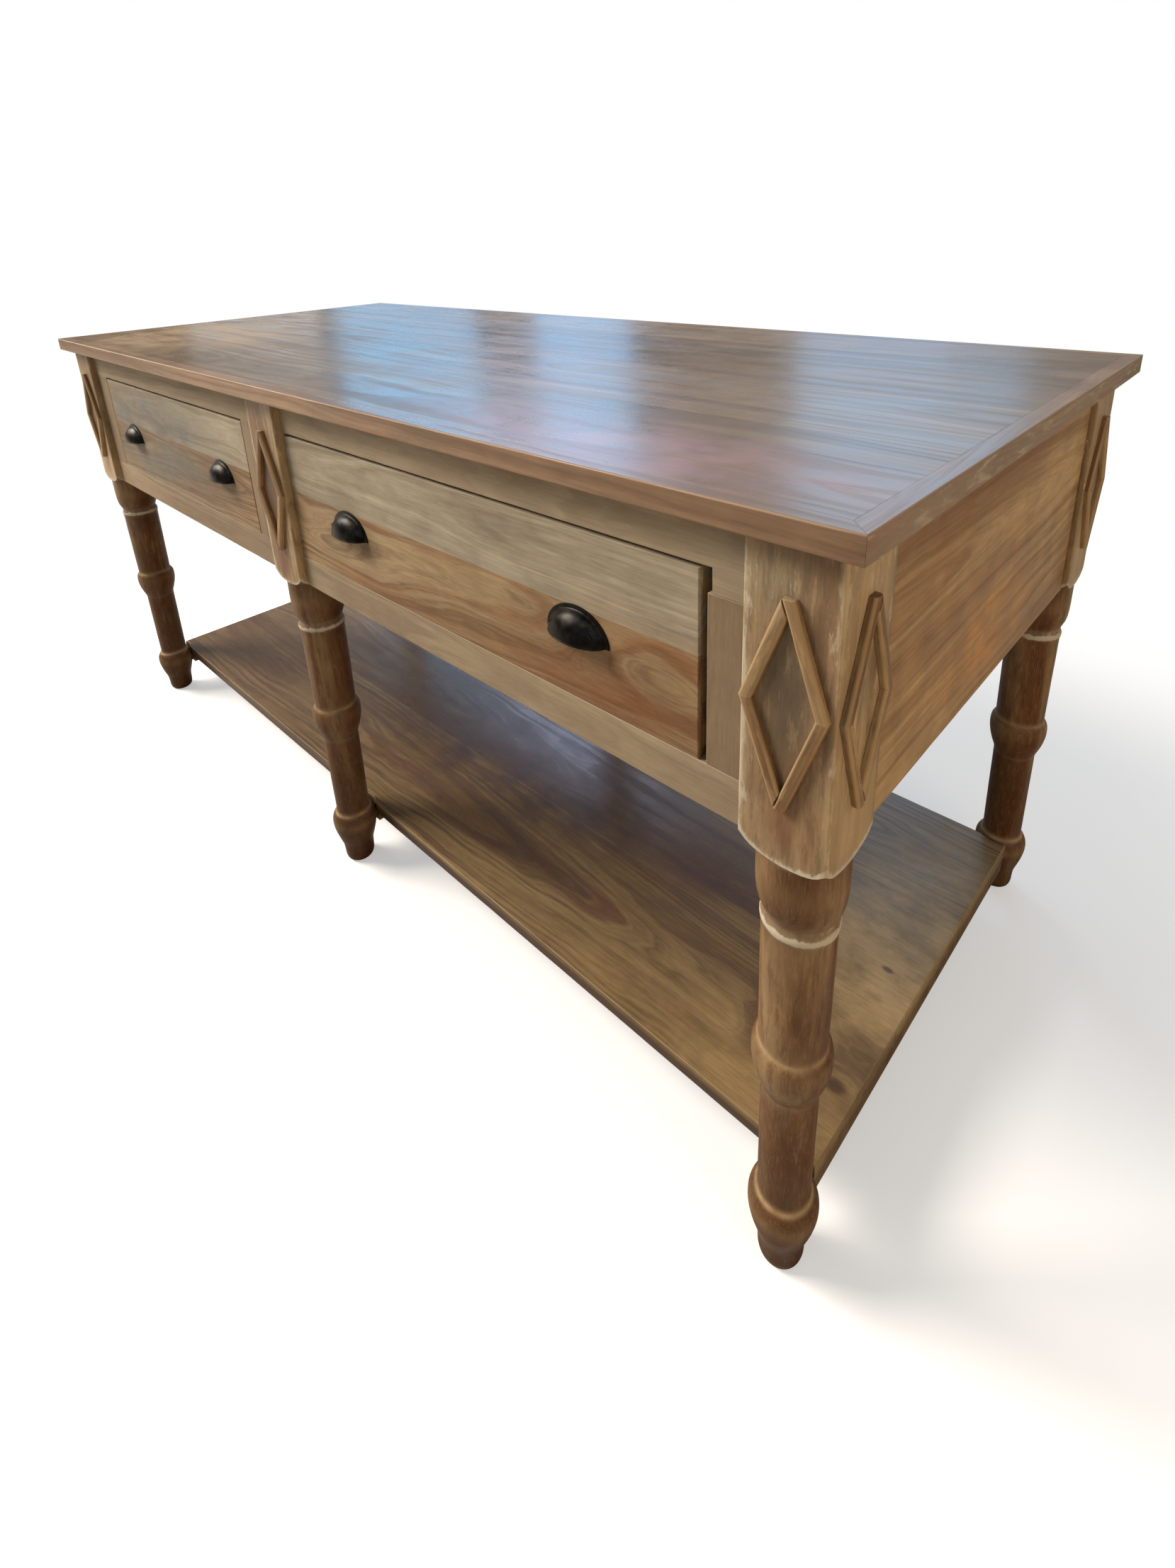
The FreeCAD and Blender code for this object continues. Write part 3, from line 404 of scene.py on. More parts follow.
def planed_board(low, high, along, wide, seed, radii=(ARRIS_ROUND,) * 4, end_round=ARRIS_ROUND,
                 step=BOARD_STEP, ripple=PLANE_RIPPLE, mitre=(0, 0), extra=(), shape=None):
    """A board between two corners: a rounded rectangle carried along it, drawn in by a quarter circle at
    each end. Its wide faces dip by a slight ripple and its arrises are worn unevenly. Mitre gives how far
    both ends are cut back at the wide axis's low and high side. Extra holds more places for rows along it,
    and shape may move the finished points.

    Gives the grid of points and the share of wear at each."""
    low, high = np.array(low, float), np.array(high, float)
    thin = 3 - along - wide
    size = high - low
    places, normals, arris = section(size[wide], size[thin], radii, step)
    end_places, end_insets = end_round * (1 - np.sin(ARC)), end_round * (1 - np.cos(ARC))
    middle = spaced(end_round, size[along] - end_round, step, end_round + LEAST_STEP)[1:-1]
    middle = np.unique(np.concatenate([middle, np.array(extra, float)]))
    run = np.concatenate([end_places[::-1], middle, size[along] - end_places])[:, None]
    inset = np.concatenate([end_insets[::-1], 0 * middle, end_insets])[:, None]
    across = places[None, :, 0] - normals[None, :, 0] * inset
    depth = places[None, :, 1] - normals[None, :, 1] * inset
    # Where an arris is tighter than the end's rounding, its arc shrinks to a corner
    across, depth = np.clip(across, inset, size[wide] - inset), np.clip(depth, inset, size[thin] - inset)
    flat = np.abs(normals[None, :, 1]) > 0.99
    dip = ripple * (0.5 + 0.5 * waves(run, across, 320 * MM, 130 * MM, seed)) * flat
    wear = np.clip(waves(run, across * 0, 90 * MM, MM, seed + 1) + 0.25, 0, 1) ** 2
    dip = dip + ARRIS_WEAR * arris * wear
    cut = mitre[0] + (mitre[1] - mitre[0]) * across / size[wide]
    points = np.zeros(across.shape + (3,))
    points[..., along] = low[along] + cut + run * (1 - 2 * cut / size[along])
    points[..., wide] = low[wide] + across - normals[None, :, 0] * dip
    points[..., thin] = low[thin] + depth - normals[None, :, 1] * dip
    if shape is not None:
        points = shape(points)
    ends = np.zeros(len(run))
    ends[:ARC_STEPS] = ends[-ARC_STEPS:] = 0.6 * min(1, end_round / ARRIS_ROUND) ** 2
    return points, np.clip(arris[None, :] + ends[:, None], 0, 1)


def log_place(points, along, wide, pith, tilt, start, lean=0.0):
    """Where in its log each point lay: along it from a drawn start, across from the pith, and deep from the
    pith. The pith tilts away under the board and leans across it, both by a share of the way along."""
    thin = 3 - along - wide
    return np.stack([points[..., along] + start, points[..., wide] - pith[0] - lean * points[..., along],
                     points[..., thin] - pith[1] + tilt * points[..., along]], -1)


def patches(points, spots):
    """Sum of soft round spots: amount times e to the minus (distance over radius) squared."""
    total = np.zeros(points.shape[:-1])
    for centre, radius, amount in spots:
        apart = (points - np.array(centre)) / np.array(radius)
        total += amount * np.exp(-(apart**2).sum(-1))
    return total


def wooden_shell(points, worn, grain, tone):
    """One closed shell with its wood: points, faces, and the three attributes that the hardwood reads. Tone
    holds how pale or dark, how red and how limed each point is."""
    tones = np.stack(np.broadcast_arrays(*tone, points[..., 0])[:3], -1)
    return {"points": points.reshape(-1, 3), "faces": capped(points), "worn": np.ravel(worn),
            "grain": grain.reshape(-1, 3), "tone": tones.reshape(-1, 3)}


def put_piece(name, shells, material, body, replaced):
    """Makes one piece of closed shells, turns its faces outwards, and hangs it on its body."""
    start, points, faces = 0, [], []
    for shell in shells:
        points.append(shell["points"])
        faces += [[k + start for k in face] for face in shell["faces"]]
        start += len(shell["points"])
    mesh = bpy.data.meshes.new(name)
    mesh.from_pydata(np.concatenate(points).tolist(), [], faces)
    for key, kind, field in (("grain", "FLOAT_VECTOR", "vector"), ("tone", "FLOAT_VECTOR", "vector"),
                             ("worn", "FLOAT", "value")):
        if key in shells[0]:
            values = np.concatenate([np.ravel(shell[key]) for shell in shells]).astype(np.float32)
            mesh.attributes.new(key, kind, "POINT").data.foreach_set(field, values)
    form = bmesh.new()
    form.from_mesh(mesh)
    bmesh.ops.remove_doubles(form, verts=form.verts, dist=0.002 * MM)
    bmesh.ops.recalc_face_normals(form, faces=form.faces)
    form.to_mesh(mesh)
    form.free()
    mesh.shade_smooth()
    mesh.set_sharp_from_angle(angle=SHARP_OVER)
    mesh.materials.append(material)
    piece = new_object(name, mesh)
    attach(piece, body)
    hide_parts(*replaced)


# Materials of this table: colours from pale to lime, then the roughness. A spot has its centre, reach,
# colour and strength, and a knot its centre, reach and bulge

QUARTER = np.radians(90)
top_wood = hardwood(
    "oiled_table_top_hardwood", "#776249", "#5d4a35", "#3e3022", "#69463a", "#b9b2a4", 0.30, gloss=0.5,
    lines=0.31, fine=0.09, rings=1.6, ripple=0.8 * MM, relief_share=0.05,
    spots=(((0.72, -0.34, 0.9), (0.45, 0.12, 0.1), "#8b6565", 0.40),
           ((-0.72, -0.24, 0.9), (0.45, 0.26, 0.1), "#a08767", 0.45)))
lip_wood = hardwood(
    "oiled_lip_hardwood", "#92775d", "#745b45", "#4a3625", "#744a32", "#9d9583", 0.31, gloss=0.5,
    lines=0.45, fine=0.10, rings=1.4, mottle=0.12, ripple=0.8 * MM, relief_share=0.15)
rail_wood = hardwood(
    "limed_rail_hardwood", "#9c8d76", "#84745e", "#594a37", "#7f6147", "#b0a793", 0.52,
    lines=0.45, fine=0.10, rings=1.5, mottle=0.12, lime_in_pores=0.2)
end_wood = hardwood(
    "oiled_end_panel_hardwood", "#b0956c", "#927554", "#5e4630", "#865838", "#b8a98c", 0.42,
    lines=0.42, fine=0.10, clouds=0.16, rings=1.2, mottle=0.10,
    # The orange spot low in the right panel's middle is a painted warm highlight
    spots=(((0.93, -0.02, 0.65), (0.1, 0.20, 0.07), "#bd874c", 0.5),
           ((0.93, -0.15, 0.84), (0.1, 0.45, 0.07), "#634428", 0.5)))
leg_wood = hardwood(
    "limed_leg_hardwood", "#a38a64", "#664422", "#39210c", "#733f18", "#b5ad9a", 0.36, gloss=0.3,
    lines=0.45, fine=0.10, clouds=0.18, rings=1.5, mottle=0.42, lime_in_pores=0.15, dents=0.5 * MM,
    spots=(((0.925, -0.38, 0.36), (0.045, 0.045, 0.14), "#542c10", 0.6),
           ((0.925, -0.38, 0.18), (0.045, 0.045, 0.10), "#4c260b", 0.7),
           ((0.905, -0.40, 0.03), (0.10, 0.10, 0.07), "#4a2609", 0.8),
           # The dark spot in the near leg's front diamond is partly oil gathered there and partly painted
           # shade between its strips
           ((0.885, -0.40, 0.735), (0.040, 0.03, 0.095), "#3f2f1c", 0.75),
           ((0.87, -0.40, 0.84), (0.06, 0.03, 0.05), "#7c745e", 0.5),
           ((0.87, -0.41, 0.635), (0.03, 0.03, 0.04), "#7d5126", 0.6)))
shelf_wood = hardwood(
    "oiled_shelf_hardwood", "#84704e", "#645139", "#352520", "#553a30", "#a39a88", 0.30, gloss=0.38,
    lines=0.65, fine=0.12, rings=2.2, mottle=0.10, ripple=0.8 * MM, relief_share=0.22,
    knots=(((0.86, -0.03, 0.107), (0.10, 0.05, 0.05), 0.030),
           ((0.88, -0.22, 0.107), (0.16, 0.11, 0.05), 0.045)),
    # The three dark spots are partly the shelf's own dark streaks and partly painted shade under the table,
    # and the two pale spots at the right are painted light where light falls in from the right
    spots=(((0.15, -0.08, 0.107), (0.90, 0.30, 0.1), "#3d2d28", 0.65),
           ((-0.70, -0.10, 0.107), (0.55, 0.35, 0.1), "#45301f", 0.5),
           ((0.58, -0.04, 0.107), (0.20, 0.08, 0.1), "#46302e", 0.65),
           ((0.86, 0.03, 0.107), (0.17, 0.30, 0.1), "#a58c64", 0.9),
           ((0.82, -0.32, 0.107), (0.45, 0.14, 0.1), "#8f7650", 0.5)))
upper_front_wood = hardwood(
    "pale_drawer_front_hardwood", "#9e9582", "#898070", "#6a5c48", "#886e52", "#b8ae98", 0.50,
    lines=0.45, fine=0.10, clouds=0.14, rings=1.6, mottle=0.12, lime_in_pores=0.15,
    spots=(((0.20, -0.4, 0.74), (0.05, 0.1, 0.03), "#776850", 0.5),
           ((-0.55, -0.4, 0.75), (0.50, 0.1, 0.10), "#66645f", 0.9)),
    lay=((QUARTER, np.radians(1.6), 0), (0.3, 0.79, 0.42)))
lower_front_wood = hardwood(
    "warm_drawer_front_hardwood", "#998566", "#836a4d", "#4f3724", "#7c5232", "#b8ae98", 0.46,
    lines=0.65, fine=0.12, clouds=0.12, rings=1.7, mottle=0.10, lime_in_pores=0.1,
    knots=(((0.735, -0.40, 0.70), (0.18, 0.1, 0.062), 0.032),
           ((0.05, -0.40, 0.70), (0.16, 0.1, 0.06), 0.02)),
    spots=(((0.66, -0.40, 0.65), (0.26, 0.2, 0.06), "#6b4428", 0.5),
           ((0.30, -0.40, 0.63), (0.30, 0.2, 0.03), "#7a4c2c", 0.4),
           ((-0.55, -0.4, 0.68), (0.50, 0.1, 0.10), "#625f55", 0.85)),
    lay=((QUARTER, np.radians(-2.2), 0), (1.7, 0.70, 0.43)))
inner_long_wood = hardwood(
    "drawer_lining_along", "#bda27a", "#a5875d", "#7a5f3c", "#916a44", "#c8bda6", 0.60,
    lay=((QUARTER, np.radians(1.2), 0), (4.1, 0.62, 0.05)))
inner_deep_wood = hardwood(
    "drawer_lining_deep", "#b99e76", "#a18359", "#765b38", "#8d6640", "#c8bda6", 0.60,
    lay=((QUARTER, 0, QUARTER), (2.3, 0.31, 0.66)))
under_wood = hardwood(
    "oiled_bearer_hardwood", "#6f5a40", "#584430", "#3a2b1d", "#4d3226", "#a39a88", 0.50,
    lay=((QUARTER, 0, QUARTER), (5.3, 0.31, 0.66)))
iron = blackened_iron()
steel = zinc_steel()


# Table top


def corners_rounded(points):
    """Draws plan corners past the top's quarter circles back onto them."""
    half = box_high[:2] - TOP_CORNER_ROUND
    plan = points[..., :2]
    past = np.maximum(np.abs(plan) - half, 0)
    reach = np.linalg.norm(past, axis=-1, keepdims=True)
    both = (past > 0).all(-1, keepdims=True) & (reach > TOP_CORNER_ROUND)
    drawn = np.sign(plan) * (half + past * TOP_CORNER_ROUND / np.maximum(reach, MM * MM))
    points[..., :2] = np.where(both, drawn, plan)
    return points


lips = [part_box(f"top_lip_{side}") for side in ("front", "back", "left", "right")]
box_low = np.min([low for low, _ in lips], axis=0)
box_high = np.max([high for _, high in lips], axis=0)
draw = np.random.default_rng(11)
for k in range(4):
    low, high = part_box(f"top_board_{k + 1}")
    points, worn = planed_board(low, high, X, Y, 20 + k, (JOINT_ROUND,) * 4, JOINT_ROUND)
    pith = (low.y + high.y) / 2 + draw.uniform(-0.05, 0.05), high.z - draw.uniform(0.05, 0.12)
    grain = log_place(points, X, Y, pith, draw.uniform(-0.03, 0.03), draw.uniform(0, 9))
    shell = wooden_shell(points, worn * 0, grain, (draw.uniform(-0.12, 0.12), 0, 0))
    put_piece(f"plank_{k + 1}", [shell], top_wood, "table", [f"top_board_{k + 1}"])
for side, along, wide, outer in (("front", X, Y, "low"), ("back", X, Y, "high"), ("left", Y, X, "low"),
                                 ("right", Y, X, "high")):
    low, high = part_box(f"top_lip_{side}")
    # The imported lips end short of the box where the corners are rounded
    low[along], high[along] = box_low[along], box_high[along]
    width = high[wide] - low[wide]
    radii = [TOP_EDGE_ROUND if (k in (1, 2)) == (outer == "low") else JOINT_ROUND for k in range(4)]
    mitre = (0, width) if outer == "low" else (width, 0)
    points, worn = planed_board(low, high, along, wide, 30 + along + wide, radii, MITRE_ROUND, mitre=mitre,
                                shape=corners_rounded)
    pith = low[wide] - 0.05, low.z - draw.uniform(0.02, 0.06)
    grain = log_place(points, along, wide, pith, 0.02, draw.uniform(0, 9))
    # The outer faces are greyed by lime, the top face is as dark as the boards, and the mitres darker still
    grey = {"front": 0.05, "back": 0.1, "left": 0.3, "right": 0.42}[side]
    upper = np.clip((points[..., Z] - high.z + 1.5 * MM) / MM, 0, 1)
    shade = -0.30 * upper
    shade[:ARC_STEPS] = shade[-ARC_STEPS:] = -0.7
    shell = wooden_shell(points, worn * 0.8, grain, (shade, 0.02, grey * (1 - upper)))
    put_piece(f"lip_{side}", [shell], lip_wood, "table", [f"top_lip_{side}"])


# Legs


def leg_centre(place):
    """Place in plan of a leg's axis, the middle of its packed box."""
    low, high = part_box(f"leg_{place}")
    return (low.x + high.x) / 2, (low.y + high.y) / 2


def leg_shell(x, y, seed, depth):
    """A leg by height and turn about its axis. Its radius is the lesser of the turned profile and the
    rounded square; the shoulder's last row lies where the two meet, so their edge is crisp all round. Depth
    is how dark the leg is: the wood's own tone, and on the middle legs more of it as painted shade."""
    side = np.linspace(-(LEG_HALF - LEG_CORNER), LEG_HALF - LEG_CORNER, FACE_COLUMNS + 1)
    arc = LEG_HALF - LEG_CORNER + LEG_CORNER * np.stack([np.cos(ARC), np.sin(ARC)], 1)[1:-1]
    outline = np.concatenate([np.stack([0 * side + LEG_HALF, side], 1), arc])
    outline = np.concatenate([outline @ np.array([[np.cos(a), np.sin(a)], [-np.sin(a), np.cos(a)]])
                              for a in np.radians([0, 90, 180, 270])])
    square = np.linalg.norm(outline, axis=1)
    away = outline / square[:, None]
    turned = np.concatenate([smooth_run(run, TURN_STEP) for run in TURNING])
    turned = turned[np.append(True, np.abs(np.diff(turned, axis=0)).sum(1) > 0.01)] * MM
    shoulder = smooth_run(SHOULDER, 0.5 * MM) * MM
    meet = np.interp(square, shoulder[:, 1], shoulder[:, 0])
    share = np.linspace(0, 1, 13)[1:, None]
    shoulder_height = shoulder[0, 0] + share * (meet - shoulder[0, 0])
    shoulder_radius = np.interp(shoulder_height, shoulder[:, 0], shoulder[:, 1])
    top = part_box("leg_front_left")[1].z
    up = spaced(0, 1, 0.03, 0.004)[1:, None]
    block_height = meet + up * (top - meet)
    height = np.concatenate([turned[:, :1] + 0 * square, shoulder_height, block_height])
    radius = np.concatenate([turned[:, 1:] + 0 * square, shoulder_radius, square + 0 * block_height])
    angle = np.arctan2(away[:, 1], away[:, 0])[None, :]
    draw = np.random.default_rng(seed)
    lean = draw.uniform(-LEG_LEAN, LEG_LEAN, 2)
    round_part = np.clip((shoulder[0, 0] - height) / (60 * MM), 0, 1)
    girth = waves(height, angle * 30 * MM, 70 * MM, 60 * MM * np.pi, seed)
    radius = radius - LEG_UNEVEN * (1 + girth)
    points = np.stack([x + radius * away[:, 0] + lean[0] * round_part,
                       y + radius * away[:, 1] + lean[1] * round_part, height], -1)

    # Ridges are rubbed pale, and coves, the block and its lower edge keep their lime
    block = height > meet
    outer_side = (away[None, :, 0] * np.sign(x) > 0.75) * block
    outward = (away[:, 0] * np.sign(x) * (abs(x) > LEG_HALF) + away[:, 1] * np.sign(y) > 1.2)[None, :]
    corner = np.exp(-((square.max() - square) / (1.6 * MM)) ** 2)[None, :] * block
    worn, lime = np.zeros(height.shape), np.zeros(height.shape)
    ridges = ((86, 9, 0.25), (107, 2, 0.9), (316, 10, 0.10), (331, 2, 0.65), (540, 14, 0.2))
    coves = ((488, 4.5, 1.3 - depth), (497, 4, 0.35), (110, 3, 0.3), (334, 3, 0.3), (267, 3, 0.2))
    for coat, bands in ((worn, ridges), (lime, coves)):
        for middle, spread, amount in bands:
            band = np.exp(-((turned[:, :1] - middle * MM) / (spread * MM)) ** 2)
            coat[:len(turned)] += amount * band
    lime += 0.45 * np.exp(-((height - meet) / (2.5 * MM)) ** 2) * (height > shoulder[0, 0] - 4 * MM)
    worn += corner * (0.15 + 0.65 * outward)
    lime += block * (0.20 + 0.13 * np.clip((height - 650 * MM) / (150 * MM), 0, 1))
    lime += (0.1 + 0.15 * outward) * corner + 0.06 * outer_side
    lime += patches(points, [((x - 0.043, y - 0.043, 0.70), (0.007, 0.01, 0.13), 0.3),
                             ((x - 0.01, y - 0.043, 0.61), (0.04, 0.03, 0.035), 0.04),
                             ((x - 0.03, y - 0.043, 0.64), (0.016, 0.03, 0.06), 0.13)])
    pith, tilt = draw.uniform(0.02, 0.07, 2) * draw.choice((-1, 1), 2), draw.uniform(-0.05, 0.05)
    grain = log_place(points - np.array([x, y, 0]), Z, X, pith, tilt, draw.uniform(0, 9))

    # Darker towards the foot as painted shade, and by each leg's depth; inside the diamonds darker, partly
    # from oil gathered there and partly as painted shade between the strips; paler on the outer sides, with
    # a few marks on the block
    light = 0.22 * waves(height, angle, 400 * MM, 5.0, seed + 2) + 0.72 * block - depth
    light -= 0.20 * np.clip(1 - height / (450 * MM), 0, 1)
    across = np.minimum(np.abs(radius * away[:, 0]), np.abs(radius * away[:, 1]))
    # Inside the diamonds: oil gathered between the strips, and painted shade there
    inside = np.exp(-((height - 738 * MM) / (75 * MM)) ** 2 - (across / (30 * MM)) ** 2) * block
    light += 0.35 * outer_side - 0.90 * inside
    light += patches(points, [((x - 0.012, y - 0.04, 0.560), (0.006, 0.02, 0.010), 0.8)])
    low_block = patches(points, [((x + 0.002, y - 0.04, 0.612), (0.018, 0.03, 0.028), 0.8),
                                 ((x - 0.005, y - 0.04, 0.66), (0.03, 0.03, 0.03), 0.3)])
    light -= 0.9 * low_block + 0.3 * np.exp(-((height / (35 * MM)) ** 2))
    blush = 0.6 * low_block + 0.12 * (height < meet)
    return wooden_shell(points, np.clip(worn, 0, 1), grain, (light, blush, np.clip(lime, 0, 1)))


for row in ("front", "back"):
    # Depth darkens each leg; the middle legs' greater depth is painted shade
    for column, seed, depth in (("left", 41, 0.50), ("middle", 42, 0.58), ("right", 43, 0.46)):
        name = f"leg_{row}_{column}"
        shell = leg_shell(*leg_centre(f"{row}_{column}"), seed + (row == "back") * 10, depth)
        put_piece(f"turned_{name}", [shell], leg_wood, "table", [name])


# Diamonds


def strip_shells(x, y, turn, seed, lift, shear, inset):
    """The four strips on one face of a leg's block. Each is a board carried between the corners of its own
    four-sided outline. The two on the side of the table's corner run through at the top and the bottom,
    where they are cut level, and the other two butt against them. All four are cut level where they meet
    half-way. Lift, shear and inset move them up, askew, and in from the table's corner."""
    wide, tall = LEG_HALF - DIAMOND_MARGIN, DIAMOND_HALF_HEIGHT
    cut = STRIP_WIDTH / 2 * np.hypot(wide - STRIP_WIDTH / 2, tall) / tall
    corner_side = 1 if np.cos(np.radians(turn)) * x + np.sin(np.radians(turn)) * y > 0 else -1
    spin = np.array(Matrix.Rotation(np.radians(turn), 3, "Z"))
    low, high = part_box("diamonds_front")
    middle = (low.z + high.z) / 2 + lift
    draw = np.random.default_rng(seed)
    radii = (STRIP_ROUND, STRIP_ROUND, 0.4 * MM, 0.4 * MM)
    length = np.hypot(wide - cut, tall)
    shells = []
    for side in (-1, 1):
        for rise in (-1, 1):
            inner = (-cut, tall) if side == corner_side else (0, tall * (1 - cut / (wide - cut)))
            corners = np.array([[inner, (wide - 2 * cut, 0)], [(cut, tall), (wide, 0)]])
            size = (length, STRIP_WIDTH, STRIP_THICK)
            local, worn = planed_board((0, 0, 0), size, X, Y, seed + side + 2 * rise, radii, 0.3 * MM,
                                       step=5 * MM, ripple=0.1 * MM)
            s = local[..., :1] / length
            q = local[..., 1:2] / STRIP_WIDTH
            flat = ((1 - q) * ((1 - s) * corners[0, 0] + s * corners[0, 1])
                    + q * ((1 - s) * corners[1, 0] + s * corners[1, 1]))
            out = LEG_HALF + local[..., 2] - GLUE_DEPTH
            level = side * flat[..., 0] * (1 - inset / wide if side == corner_side else 1)
            placed = np.stack([level, -out, middle + rise * flat[..., 1] + shear * level * corner_side], -1)
            placed = placed @ spin.T + np.array([x, y, 0])
            grain = np.stack([local[..., 0] + draw.uniform(0, 9), local[..., 1] + draw.uniform(0.02, 0.05),
                              local[..., 2] + draw.uniform(0.01, 0.04)], -1)
            foot = np.clip(1 - local[..., 2] / (2 * MM), 0, 1)
            tone = draw.uniform(0.05, 0.25), draw.uniform(0, 0.2), 0.1 + 0.2 * foot
            shells.append(wooden_shell(placed, worn * 0.9, grain, tone))
    return shells


# Each side's turn and its legs. The near leg's diamonds sit a little high and askew, as they were glued
FACES = {
    "front": (0, "front_left", "front_middle", "front_right"),
    "back": (180, "back_left", "back_middle", "back_right"),
    "left": (-90, "front_left", "back_left"),
    "right": (90, "front_right", "back_right"),
}
ASKEW = {("front_right", 0): (4 * MM, 0.05, 3.5 * MM), ("front_right", 90): (4 * MM, 0.02, 2.5 * MM)}
for side, (turn, *places) in FACES.items():
    shells = []
    for place in places:
        askew = ASKEW.get((place, turn), (1 * MM, 0.0, 1 * MM))
        seed = 60 + len(shells) + 3 * turn % 97
        shells += strip_shells(*leg_centre(place), turn, seed, *askew)
    put_piece(f"raised_{side}", shells, leg_wood, "table", [f"diamonds_{side}"])


# Apron


def board_piece(node, along, wide, material, slot, seed, tone, ends=None, foot=None, tilt=0.02, lean=0.0,
                pith=None, **kept):
    """A planed board that stands for one CAD node and fills its packed box. Ends give its two ends in place
    of the box's, and foot its lower face. The pith lies at a drawn place, unless it is given."""
    low, high = (list(corner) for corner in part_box(node))
    if ends:
        low[along], high[along] = ends
    if foot:
        low[Z] = foot
    points, worn = planed_board(low, high, along, wide, seed, **kept)
    draw = np.random.default_rng(seed)
    thin = 3 - along - wide
    across = (low[wide] + high[wide]) / 2 + draw.uniform(-0.04, 0.04)
    deep = (low[thin] + high[thin]) / 2 + draw.choice((-1, 1)) * draw.uniform(0.03, 0.08)
    tilt = draw.choice((-1, 1)) * tilt
    grain = log_place(points, along, wide, pith or (across, deep), tilt, draw.uniform(0, 9), lean)
    shades = [t(points) if callable(t) else t for t in tone]
    shell = wooden_shell(points, worn, grain, shades)
    put_piece(f"planed_{node}", [shell], material, "table", [node])


rail_low, rail_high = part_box("rail_top_left")
open_top = rail_low.z
open_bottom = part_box("rail_bottom_left")[1].z
BAYS = {
    "left": (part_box("leg_front_left")[1].x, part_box("leg_front_middle")[0].x),
    "right": (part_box("leg_front_middle")[1].x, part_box("leg_front_right")[0].x),
}
ear_start = BAYS["right"][1] - EAR_WIDTH


def eared(points):
    """Stretches the rail down past its lower edge where it has its ear."""
    share = np.clip((rail_high.z - points[..., Z]) / (rail_high.z - open_top), 0, 1)
    points[..., Z] -= EAR_HEIGHT * share * (points[..., X] > ear_start)
    return points


for k, (bay, ends) in enumerate(BAYS.items()):
    board_piece(f"rail_bottom_{bay}", X, Z, rail_wood, "frame_wood", 70 + k, (-0.24, 0.16, 0.12), ends)
    at_ear = ear_start - ends[0]
    ear = {"extra": [at_ear - 0.2 * MM, at_ear + 0.2 * MM], "shape": eared} if bay == "right" else {}
    board_piece(f"rail_top_{bay}", X, Z, rail_wood, "frame_wood", 72 + k, (0.22, 0.0, 0.30), ends, open_top,
                **ear)
for k, (stile, top) in enumerate((("left_outer", open_top), ("left_inner", open_top),
                                  ("right_outer", open_top - EAR_HEIGHT))):
    board_piece(f"stile_{stile}", Z, X, rail_wood, "frame_wood", 76 + k, (-0.42, 0.22, 0.12),
                (open_bottom, top))
inside = (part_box("leg_front_left")[1].y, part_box("leg_back_left")[0].y)
for k, side in enumerate(("left", "right")):
    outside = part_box(f"end_panel_{side}")[1].x
    board_piece(f"end_panel_{side}", Y, Z, end_wood, "frame_wood", 80 + k, (0.0, 0.1, 0.0), inside,
                tilt=0.05, lean=0.01, pith=(0.78, outside + 0.02))
    board_piece(f"back_panel_{side}", X, Z, end_wood, "frame_wood", 84 + k, (0.0, 0.05, 0.1), BAYS[side],
                tilt=0.05)


# Shelf


def notched(points):
    """Draws the shelf's long edges in round each leg, by the circle that clears it."""
    for column in ("left", "middle", "right"):
        for side, row in ((-1, "front"), (1, "back")):
            x, y = leg_centre(f"{row}_{column}")
            chord = np.sqrt(np.maximum(NOTCH_RADIUS**2 - (points[..., X] - x) ** 2, 0))
            edge = np.where(chord > 0, abs(y) - chord, 1.0)
            share = np.clip((points[..., Y] * side - shelf_half + NOTCH_FADE) / NOTCH_FADE, 0, 1)
            points[..., Y] -= side * share * np.maximum(shelf_half - edge, 0)
    return points


def edge_shade_and_end_grain(points):
    """Darker shelf edges below its top face: painted shade on them, and on the ends also end grain that
    drinks more oil.
    """
    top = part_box("shelf_board_1")[1].z
    return -0.75 * np.clip((top - 2 * MM - points[..., Z]) / (3 * MM), 0, 1)


shelf_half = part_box("shelf_board_3")[1].y
for k, outer_corners in enumerate(((1, 2), (), (0, 3))):
    low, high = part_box(f"shelf_board_{k + 1}")
    radii = tuple(SHELF_ROUND if corner in outer_corners else JOINT_ROUND for corner in range(4))
    around = []
    for column in ("left", "middle", "right"):
        around += list(leg_centre(f"front_{column}")[0] - low.x + np.linspace(-40, 40, 41) * MM)
    around = [a for a in around if SHELF_ROUND + SUPPORT < a < high.x - low.x - SHELF_ROUND - SUPPORT]
    board_piece(f"shelf_board_{k + 1}", X, Y, shelf_wood, "shelf_wood", 90 + k, (edge_shade_and_end_grain, 0.08, 0.0),
                tilt=0.03, radii=radii, end_round=SHELF_ROUND, extra=around, shape=notched)


# Cup pulls


